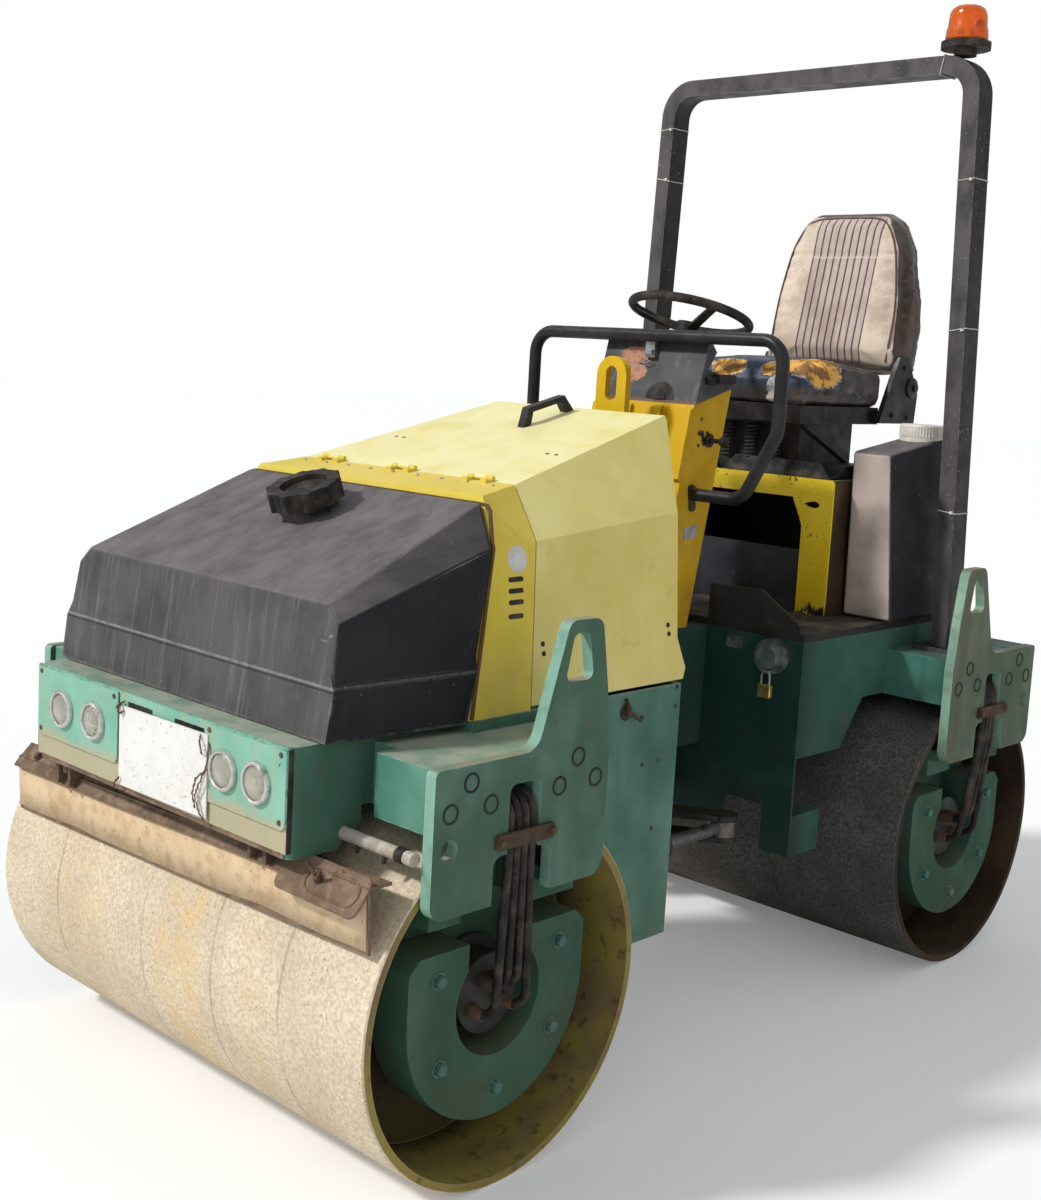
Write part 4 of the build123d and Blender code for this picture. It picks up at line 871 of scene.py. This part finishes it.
def panel_trim(end, word, half):
    """Corner screws, the dark seams beside the panel and, in front, round its raised plates and slots."""
    s, dark = Shape(), Shape()
    for x, z in ((-0.43, 0.888), (-0.135, 0.888), (0.205, 0.888), (0.43, 0.888), (0.43, 0.76), (-0.43, 0.76)):
        s.lathe(turn((0, end, 0), (x, at(end, panel_out), z)), [(0.0055, 0), (0.005, 0.0018), (0, 0.0026)], 16)
    s.piece(word + "_panel_screws", "bolt", half)
    for side in (-1, 1):
        dark.box((side * 0.4466, at(end, 0.396), 0.703), (side * 0.4496, at(end, 0.4065), 0.9))
    if end < 0:
        for x in (-0.121, 0.187):
            dark.box((x, at(end, 0.4065), 0.748), (x + 0.002, at(end, 0.4075), 0.898))
        for low, high in ((-0.089, 0.002), (0.08, 0.182)):
            dark.box((low, at(end, 0.4035), 0.873), (high, at(end, 0.4022), 0.885))
        foot = Shape()
        foot.box((-0.436, at(end, 0.4036), 0.6905), (0.436, at(end, 0.4022), 0.7015))
        foot.piece("nose_foot_rust", "scraper", half, smooth=False)
    dark.piece(word + "_panel_gaps", "cap", half, smooth=False)


# ---- trim of the front half ----

def scraper_trim():
    """Brackets, clamp bolts, the rusty lip over the blade and the tray plate with its wing bolt."""
    y = at(-1, 0.358)
    askew = 0.026

    s = Shape()
    for x in (-0.38, 0.33):
        lift = askew * x
        for low, high in ((-0.03, -0.019), (0.019, 0.03)):
            s.box((x + low, y - 0.026, 0.646 + lift), (x + high, y + 0.024, 0.703 + lift))
        s.bolt((0, -1, 0), (x, y - 0.008, 0.682 + lift), 0.012, 0.014)
    for x in (-0.55, -0.2, -0.05, 0.15):
        s.bolt((0, -0.6, 0.8), (x, y + 0.008, 0.672 + askew * x), 0.008, 0.007)
    s.piece("scraper_brackets", "bolt", "front_half", 0.0012)

    s = Shape()
    section = ((-0.0125, 0.639), (-0.0145, 0.641), (-0.01, 0.648), (0.029, 0.688), (0.0315, 0.686), (-0.0125, 0.639))
    rows = []
    for k in range(25):
        x = -0.62 + 0.043 * k
        rows.append([(x, y + out, z + askew * x + 0.0012 * math.sin(9 * x)) for out, z in section])
    s.skin(rows)
    s.piece("scraper_lip", "scraper", "front_half")

    s = Shape()
    out = Vector((0, -0.8, 0.6))
    tray = level(turn(out, (0.508, y - 0.007, 0.657)))
    s.prism(tray, rounded(0.118, 0.041, 0.018), 0.005)
    outline = rounded(0.072, 0.024, 0.022, 7)
    s.tube([tray @ Vector((0.03 + a, b, 0.0058)) for a, b in outline + outline[:2]], 0.0022, 6)
    s.piece("scraper_tray", "scraper", "front_half", 0.0015)

    s = Shape()
    post = tray @ Vector((-0.01, 0.004, 0.005))
    s.bolt(out, post, 0.009, 0.01)
    for wing, lean in ((-1, 0.004), (1, -0.003)):
        s.tube([post + out * rise + Vector((wing * x, 0, z + lean))
                for rise, x, z in ((0.008, 0.004, 0), (0.016, 0.014, 0.01), (0.02, 0.019, 0.016))], 0.0042)
    s.piece("wing_bolt", "bolt", "front_half")


def plate_wires():
    """Rusty wires that hold the blank plate to the panel, as x, millimetres behind the wires' plane, z."""
    routes = (((-0.1, 6, 0.884), (-0.112, -4, 0.872), (-0.098, -6, 0.86), (-0.091, 0, 0.866)),
              ((-0.106, 4, 0.88), (-0.096, -8, 0.876), (-0.102, -7, 0.862)),
              ((0.176, 4, 0.876), (0.19, -8, 0.862), (0.196, -8, 0.846), (0.19, -2, 0.838)),
              ((0.206, 4, 0.862), (0.211, -6, 0.815), (0.19, -9, 0.775), (0.177, -7, 0.752), (0.19, -5, 0.722),
               (0.203, 0, 0.704)),
              ((0.204, 3, 0.812), (0.183, -9, 0.79), (0.17, -8, 0.757), (0.178, -6, 0.728)),
              ((-0.1, -2, 0.725), (-0.112, -6, 0.712), (-0.118, 0, 0.7)))
    y = at(-1, lamp_out) - 0.0135
    s = Shape()
    for n, route in enumerate(routes):
        route = [(x, y + out / 1000, z) for x, out, z in route]
        s.tube(wavy(route, 0.0016, 7, n * 3.0), 0.0013, 6)
        s.tube(wavy([(x + 0.002, y - 0.001, z) for x, y, z in route], 0.002, 7, n * 5.0 + 1), 0.0012, 6)
    s.piece("plate_wires", "wire", "front_half")


def leaning_side(side, y, z):
    """A matrix on the leaning side of hood and cover: z outwards, x rearwards."""
    lean = 0.188
    normal, rear = Vector((side * 0.983, 0, 0.185)), Vector((0, 1, 0))
    place = Vector((side * (0.508 - (z - 0.912) * lean), y, z))
    return Matrix.Translation(place) @ Matrix((rear, normal.cross(rear), normal)).transposed().to_4x4()


def body_trim():
    """Vent slots, holes, blank sticker and rivets of the engine cover, and the tank's gasket."""
    # The dark slots and discs stand for the openings of the vents and holes: their dark is painted shade.
    vents, cover_holes, hood_holes = Shape(), Shape(), Shape()
    round_hole = rounded(0.0056, 0.0056, 0.0055)
    for side in (-1, 1):
        for s, outline, places in ((vents, rounded(0.022, 0.0052, 0.005),
                                    ((-0.764, 1.179), (-0.766, 1.156), (-0.768, 1.133), (-0.772, 1.105))),
                                   (cover_holes, round_hole, ((-0.699, 1.042), (-0.698, 1.022))),
                                   (hood_holes, round_hole, ((-0.281, 1.045), (-0.28, 1.025)))):
            for y, z in places:
                s.prism(shifted(leaning_side(side, y, z), 0, 0, -0.0004), outline, 0.0012)
    slope = math.atan2(0.141, 0.578)
    for x in (-0.272, -0.244, 0.244, 0.272):
        place = (x, -0.46, 1.362 + (0.673 - 0.46) * 0.2561)
        hood_holes.prism(turn((0, -math.sin(slope), math.cos(slope)), place), rounded(0.0046, 0.0046, 0.0045), 0.0008)
    vents.piece("cover_vents", "cap", "front_half", 0.0006)
    cover_holes.piece("cover_holes", "cap", "front_half")
    hood_holes.piece("hood_holes", "cap", "hood")

    s = Shape()
    s.lathe(leaning_side(1, -0.755, 1.22), [(0, 0.0009), (0.0275, 0.0009), (0.0285, 0.0003), (0.0285, -0.002)], 40)
    s.piece("blank_sticker", "sticker", "front_half")

    s = Shape()
    for k in range(9):
        s.lathe(turn((0, -0.15, 1), (-0.32 + 0.08 * k, -0.706, 1.3565)),
                [(0.0048, -0.002), (0.0048, 0.0006), (0.0034, 0.0026), (0, 0.0032)], 12)
    s.piece("cover_rivets", "steel", "front_half")

    s = Shape()
    half = ((0.508, 0.914), (0.4492, 1.226), (0.446, 1.243), (0.438, 1.255), (0.409, 1.316), (0.398, 1.325),
            (0.38, 1.3265))
    rows = [(x + 0.0008, -0.924 + (z - 0.9053) * 0.3, z + 0.0006) for x, z in half]
    s.tube(rows + [(-x, y, z) for x, y, z in reversed(rows)], 0.0042)
    s.piece("tank_gasket", "gasket", "front_half")


def bay_trim():
    """Turned latch in its keyhole on the skirt below the hood, and the holes of the skirt."""
    # The dark discs stand for the keyhole and the holes of the skirt: their dark is painted shade.
    latch, holes = Shape(), Shape()
    for side in (-1, 1):
        x = 0.5121
        axis = (side, 0, 0)
        keyhole = turn(axis, (side * x, -0.447, 0.87))
        holes.lathe(keyhole, [(0.02, -0.001), (0.02, 0.0006), (0.015, 0.0012), (0, 0.0012)], 28)
        latch.lathe(keyhole, [(0.009, 0), (0.009, 0.01), (0.007, 0.0135), (0, 0.014)], 18)
        for radius, lever in ((0.0048, ((0.008, -0.447, 0.87), (0.013, -0.433, 0.863), (0.014, -0.41, 0.849),
                                        (0.011, -0.402, 0.854))),
                              (0.0042, ((0.006, -0.449, 0.876), (0.008, -0.451, 0.89), (0.004, -0.452, 0.901)))):
            latch.tube([(side * (x + out), y, z) for out, y, z in lever], radius)
        for y, z, r in ((-0.269, 0.906, 0.0046), (-0.271, 0.86, 0.0046), (-0.321, 0.74, 0.0042),
                        (-0.378, 0.739, 0.0042), (-0.329, 0.583, 0.004)):
            holes.lathe(turn(axis, (side * x, y, z)),
                        [(r * 1.25, -0.001), (r * 1.25, 0.0004), (r, 0.0005), (0, 0.0003)], 16)
    latch.piece("bay_latches", "clamp", "front_half")
    holes.piece("bay_holes", "cap", "front_half")


# ---- trim of the rear half ----

def console_trim():
    """Rail brackets with their bolts, a blank label, the lever gate, and what sits on the dash."""
    out = Matrix.Rotation(math.pi / 2, 4, "Y")
    face = 0.1684
    plate, bolts = Shape(), Shape()
    for side in (-1, 1):
        m = Matrix.Translation((side * 0.1682, 0.184, 1.29)) @ Matrix.Rotation(side * math.pi / 2, 4, "Y")
        plate.prism(m @ Matrix.Rotation(0.19, 4, "Z"), rounded(0.036, 0.0125, 0.01), 0.0045)
        for rise in (-0.026, 0.026):
            bolts.bolt((side, 0, 0), (side * 0.172, 0.184 + rise * 0.19, 1.29 + rise), 0.0045, 0.005)
    for w, h, angle, y, z in ((0.02, 0.0042, 0.25, 0, 0), (0.0042, 0.016, 0.1, 0.01, 0.004),
                              (0.012, 0.0038, 1.2, -0.012, -0.01), (0.0036, 0.01, -0.5, 0.02, -0.012)):
        m = shifted(Matrix.Translation((face, 0.216, 1.446)) @ out, z, y, 0)
        plate.prism(m @ Matrix.Rotation(angle, 4, "Z"), rounded(w, h, 0.0034), 0.0022)
    plate.piece("rail_brackets", "black", "rear_half", 0.0008)
    for y, z in ((0.205, 1.495), (0.203, 1.462), (0.199, 1.427)):
        bolts.lathe(turn((1, 0, 0), (0.1681, y, z)), [(0.0052, 0), (0.0048, 0.0016), (0, 0.0024)], 14)
    bolts.piece("console_bolts", "bolt", "rear_half")

    s = Shape()
    s.prism(Matrix.Translation((0.1681, 0.189, 1.199)) @ out @ Matrix.Rotation(0.1, 4, "Z"),
            rounded(0.017, 0.028, 0.002), 0.0008)
    s.piece("blank_label", "label", "rear_half")

    s = Shape()
    s.box((-0.022, 0.188, 1.648), (0.01, 0.207, 1.712))
    s.box((-0.019, 0.18, 1.655), (0.007, 0.19, 1.668))
    s.tube([(-0.03, 0.19, 1.645), (-0.028, 0.182, 1.635), (-0.01, 0.181, 1.633), (0.004, 0.184, 1.64)], 0.0016, 6)
    s.piece("dash_clip", "steel", "rear_half", 0.002)

    s = Shape()
    m = level(turn((0, -0.174, 0.044), (0.049, 0.172, 1.5385)))
    for radius, flat, stride, low, depth in ((0.048, 0.048, 12, 0, 0.0012), (0.02, 0.018, 15, 0.0012, 0.004)):
        arc = [(radius * polar(1, a)[0], flat * polar(1, a)[1] + 0.002) for a in range(0, 181, stride)]
        s.prism(shifted(m, 0, 0, low), arc, depth)
    s.piece("dash_half_disc", "navy", "rear_half", 0.0006)

    s = Shape()
    s.box((0.1722, 0.236, 1.59), (0.198, 0.306, 1.614))
    s.box((0.1722, 0.205, 1.586), (0.186, 0.24, 1.606))
    s.piece("dash_switch_box", "black", "rear_half", 0.003)


def cable_ties():
    """White ties round the posts and the top of the hoop."""
    s = Shape()
    half_x, half_y = 0.0252, 0.0392
    corners = ((-1, -1), (1, -1), (1, 1), (-1, 1), (-1, -1))
    for side, z, tilt in ((1, 2.169, 0.02), (1, 1.769, 0.03), (1, 1.273, -0.02), (-1, 2.357, 0.02),
                          (-1, 2.204, -0.03)):
        x = side * (0.568 - 0.055 * (z - 0.9) / 1.576)
        loop = [(x + a * half_x, hoop_y + b * half_y, z + a * tilt * half_x * 6) for a, b in corners]
        s.tube(wavy(loop, 0.0003, 6), 0.0016, 6)
        front = hoop_y - half_y
        s.box((x + 0.012, front - 0.004, z - 0.004), (x + 0.02, front + 0.002, z + 0.004))
    loop = [(0.425 + a, hoop_y + b * 0.0395, 2.476 + c * 0.026) for a, b, c in
            ((-0.006, -1, -1), (0.004, -1, 1), (0.006, 1, 1), (-0.004, 1, -1), (-0.006, -1, -1))]
    s.tube(wavy(loop, 0.0003, 6), 0.0016, 6)
    s.piece("cable_ties", "tie", "rear_half")


def beacon_trim():
    """Bell-shaped lens, lamp, reflector and the ribbed base ring."""
    x = 0.468
    m = Matrix.Translation((x, hoop_y, 2.5366))
    s = Shape()
    s.lathe(m, [(0.0565, 0.0005), (0.0565, 0.012), (0.055, 0.03), (0.0515, 0.042), (0.0505, 0.06), (0.049, 0.074),
                (0.043, 0.086), (0.032, 0.093), (0.015, 0.0955), (0, 0.0958)], 48)
    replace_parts(s.piece("beacon_dome", "amber", "rear_half", thick=0.0026), "beacon_lens")

    s = Shape()
    s.lathe(shifted(m, -0.018, -0.012, 0),
            [(0, 0), (0.01, 0), (0.01, 0.012), (0.017, 0.013), (0.017, 0.016), (0.014, 0.018), (0.014, 0.03),
             (0.009, 0.032), (0.009, 0.036), (0.0055, 0.04), (0.0045, 0.06), (0.003, 0.066), (0, 0.067)], 24)
    s.piece("beacon_lamp", "reflector", "rear_half")

    s = Shape()
    s.lathe(shifted(m, 0.02, 0.006, 0.04) @ Matrix.Rotation(math.radians(-72), 4, "Y"),
            [(0.002, 0.016), (0.012, 0.012), (0.02, 0.002), (0.024, -0.01)], 28)
    s.piece("beacon_reflector", "mirror", "rear_half", thick=0.0012)

    s = Shape()
    s.prism(Matrix.Translation((x, hoop_y, 2.5185)), toothed(0.0655, 0.0638, 60), 0.0165)
    s.piece("beacon_ribs", "cap", "rear_half", smooth=False)


def tank_cap_trim():
    """The ribbed white cap of the side tank."""
    s = Shape()
    neck = 1.426 + 0.05 * 254 / 338
    s.prism(Matrix.Translation((0.411, 0.916, neck + 0.006)), toothed(0.0634, 0.062, 48), 0.026)
    s.piece("side_cap_ribs", "whitecap", "rear_half", smooth=False)


def filler_trim():
    """Padlock through the filler cap, and a small blank plate beside it."""
    x, y, z = 0.398, 0.25, 0.815
    s = Shape()
    s.box((x - 0.02, y - 0.007, z - 0.021), (x + 0.02, y + 0.007, z + 0.014))
    s.piece("padlock", "brass", "rear_half", 0.003)

    s = Shape()
    arch = [polar(0.0125, a) for a in range(0, 181, 15)]
    arch = [(0.0125, -0.025)] + arch + [(-0.0125, -0.025)]
    s.tube([(x + a, y, z + 0.035 + b) for a, b in arch], 0.0032)
    s.box((x - 0.01, y - 0.004, z + 0.045), (x + 0.01, y + 0.01, z + 0.05))
    s.piece("padlock_shackle", "steel", "rear_half")

    s = Shape()
    s.prism(turn((0, -1, 0), (0.265, 0.2896, 0.915)), rounded(0.026, 0.017, 0.002), 0.0012)
    for x in (0.244, 0.286):
        s.lathe(turn((0, -1, 0), (x, 0.2884, 0.915)), [(0.003, 0), (0.002, 0.0012), (0, 0.0015)], 10)
    s.piece("blank_filler_plate", "steel", "rear_half")


def seat_trim():
    """Turned-up black trays under the seat, the suspension's springs and rods, and the recliner's bolts."""
    s = Shape()
    front, rear, z = 0.606, 0.955, 1.3424
    for low, high in ((-0.262, -0.06), (-0.05, 0.318)):
        s.face((low, front, z), (high, front, z),
               (high - 0.05, front + 0.02, z + 0.044), (low + 0.03, front + 0.02, z + 0.044))
        s.face(*((x, y, z + 0.002) for x, y in ((low, front), (high, front), (high, rear), (low, rear))))
        for x in (low, high):
            s.face((x, front, z), (x, rear, z), (x, rear, z + 0.036), (x, front + 0.08, z + 0.036))
    s.piece("seat_trays", "navy", "rear_half", smooth=False, thick=0.003)

    s = Shape()
    for x in (-0.11, 0.154):
        for shift, low, high in ((0, 0.665, 0.9), (0.02, 0.9, 0.665)):
            s.tube([(x + shift, low, 1.38), (x + shift, high, 1.484)], 0.0075)
    for x in (-0.06, 0.022, 0.104):
        turns = [polar(0.017, math.degrees(k * 0.7)) for k in range(88)]
        s.tube([(x + a, 0.64 + b, 1.376 + 0.0012 * k) for k, (a, b) in enumerate(turns)], 0.0032, 6)
    s.piece("seat_suspension", "greasy", "rear_half")

    s = Shape()
    s.lathe(turn((1, 0, 0), (0.262, 1.096, 1.602)),
            [(0.03, -0.002), (0.03, 0.004), (0.024, 0.007), (0.011, 0.008), (0.011, 0.016), (0, 0.017)], 20)
    for y, z in ((1.000, 1.52), (1.085, 1.515), (1.05, 1.66)):
        s.bolt((1, 0, 0), (0.2605, y, z), 0.0065, 0.006)
    s.piece("recliner_bolts", "greasy", "rear_half")


# ---- soft seat ----

def applied(obj):
    """The mesh with its modifiers applied; they are taken off the object."""
    mesh = bpy.data.meshes.new_from_object(obj.evaluated_get(bpy.context.evaluated_depsgraph_get()))
    obj.modifiers.clear()
    return mesh


def soft(name, node, key, shrink, cap):
    """A padded piece: a slightly smaller copy of the CAD solid, swollen by Blender's cloth, at most by the cap."""
    voxel, pressure, last_frame = 0.006, 4, 20
    mesh = nodes[node].data.copy()
    mesh.materials.clear()
    mesh.materials.append(mats[key])
    low, high = (Vector(pick(v.co[i] for v in mesh.vertices) for i in range(3)) for pick in (min, max))
    centre, size = (low + high) / 2, high - low
    for v in mesh.vertices:
        v.co = centre + Vector([(v.co[i] - centre[i]) * (1 - 2 * shrink / size[i]) for i in range(3)])
    obj = bpy.data.objects.new(name, mesh)
    scene.collection.objects.link(obj)
    remesh = obj.modifiers.new("remesh", "REMESH")
    remesh.mode, remesh.voxel_size = "VOXEL", voxel
    smooth = obj.modifiers.new("smooth", "SMOOTH")
    smooth.factor, smooth.iterations = 0.5, 5
    obj.data = applied(obj)
    cloth = obj.modifiers.new("cloth", "CLOTH")
    cloth.settings.use_pressure = True
    cloth.settings.uniform_pressure_force = pressure
    cloth.settings.effector_weights.gravity = 0
    cloth.point_cache.frame_start, cloth.point_cache.frame_end = 1, last_frame
    for number in range(1, last_frame + 1):
        scene.frame_set(number)
    swollen = applied(obj)
    scene.frame_set(1)
    for v, out in zip(obj.data.vertices, swollen.vertices):
        move = out.co - v.co
        v.co += move * min(1, cap / max(move.length, 1e-6))
    return obj


def step(value, low, high):
    t = min(1, max(0, (value - low) / (high - low)))
    return t * t * (3 - 2 * t)


def finish_soft(obj, node):
    subdivide = obj.modifiers.new("subdivide", "SUBSURF")
    subdivide.levels = subdivide.render_levels = 1
    obj.data = applied(obj)
    obj.data.shade_smooth()
    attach(obj, "rear_half")
    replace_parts(obj, node)


def cushion():
    """Crowned cushion, hollowed and rippled where its foam shows, with a fold round its foot."""
    obj = soft("torn_seat_cushion", "seat_cushion", "vinyl", 0.004, 0.011)
    middle = Vector((seat_middle, 0.76, 1.58))
    for v in obj.data.vertices:
        x, y, z = v.co
        crown = math.cos((x - middle.x) / 0.222 * 1.5) * math.cos((y - middle.y) / 0.22 * 1.4)
        v.co.z += 0.007 * max(0, crown) * step(z, 1.62, 1.65)
        hollow = 0
        for centre, radii in foam_places:
            d = sum(((v.co[i] - centre[i]) / radii[i]) ** 2 for i in range(3))
            hollow = max(hollow, 1 - step(d, 0.7, 1.15))
        inwards = (middle - v.co).normalized()
        v.co += inwards * hollow * (0.007 + 0.0022 * math.sin(70 * x + 31 * y) * math.sin(47 * y - 22 * x))
        fold = 0.0035 * math.exp(-((z - 1.563 - 0.008 * math.sin(9 * (x + y))) / 0.008) ** 2)
        v.co += Vector((inwards.x, inwards.y, 0)).normalized() * fold
    finish_soft(obj, "seat_cushion")


def back():
    """Seat back drawn up and down to its full height, its middle panel proud, with piping round its face."""
    obj = soft("striped_seat_back", "seat_back", "fabric", 0.003, 0.009)
    for v in obj.data.vertices:
        x, y, z = v.co
        v.co.z += 0.013 * step(z, 1.9, 2.1) - 0.014 * (1 - step(z, 1.645, 1.8))
        v.co.x += (x - seat_middle) * 0.035
        if y < 1.075 + (z - 1.65) * 0.1:
            panel = 1 - step(abs(x - seat_middle), 0.1, 0.13)
            v.co.y += 0.003 * panel + 0.0022 * math.exp(-((z - 1.985) / 0.006) ** 2)
    finish_soft(obj, "seat_back")

    half = ((0.205, 1.668), (0.216, 1.72), (0.213, 1.8), (0.207, 1.87), (0.196, 1.95), (0.182, 2.01), (0.16, 2.06),
            (0.132, 2.095), (0.1, 2.112), (0.05, 2.116), (0.0, 2.117))
    points = []
    for x, z in half + tuple((-x, z) for x, z in half[-2::-1]):
        near = Vector((seat_middle + x, 0.985 + (z - 1.7) * 0.153, z))
        spot, normal = obj.closest_point_on_mesh(near)[1:3]
        points.append(spot + normal * 0.001)
    line = [a.lerp(b, k / 5) for a, b in zip(points, points[1:]) for k in range(5)]
    for _ in range(4):
        line = [line[0]] + [(a + b + c) / 3 for a, b, c in zip(line, line[1:], line[2:])] + [line[-1]]
    s = Shape()
    s.tube(line, 0.0032)
    s.piece("seat_piping", "piping", "rear_half")


for trim in (weld_rings, shoe_bolts, hose_fittings, lamps, spray_caps, scraper_dust, panel_trim):
    for place in ends:
        trim(*place)
for trim in (scraper_trim, plate_wires, body_trim, bay_trim, console_trim, cable_ties, beacon_trim, tank_cap_trim,
             filler_trim, seat_trim, cushion, back):
    trim()
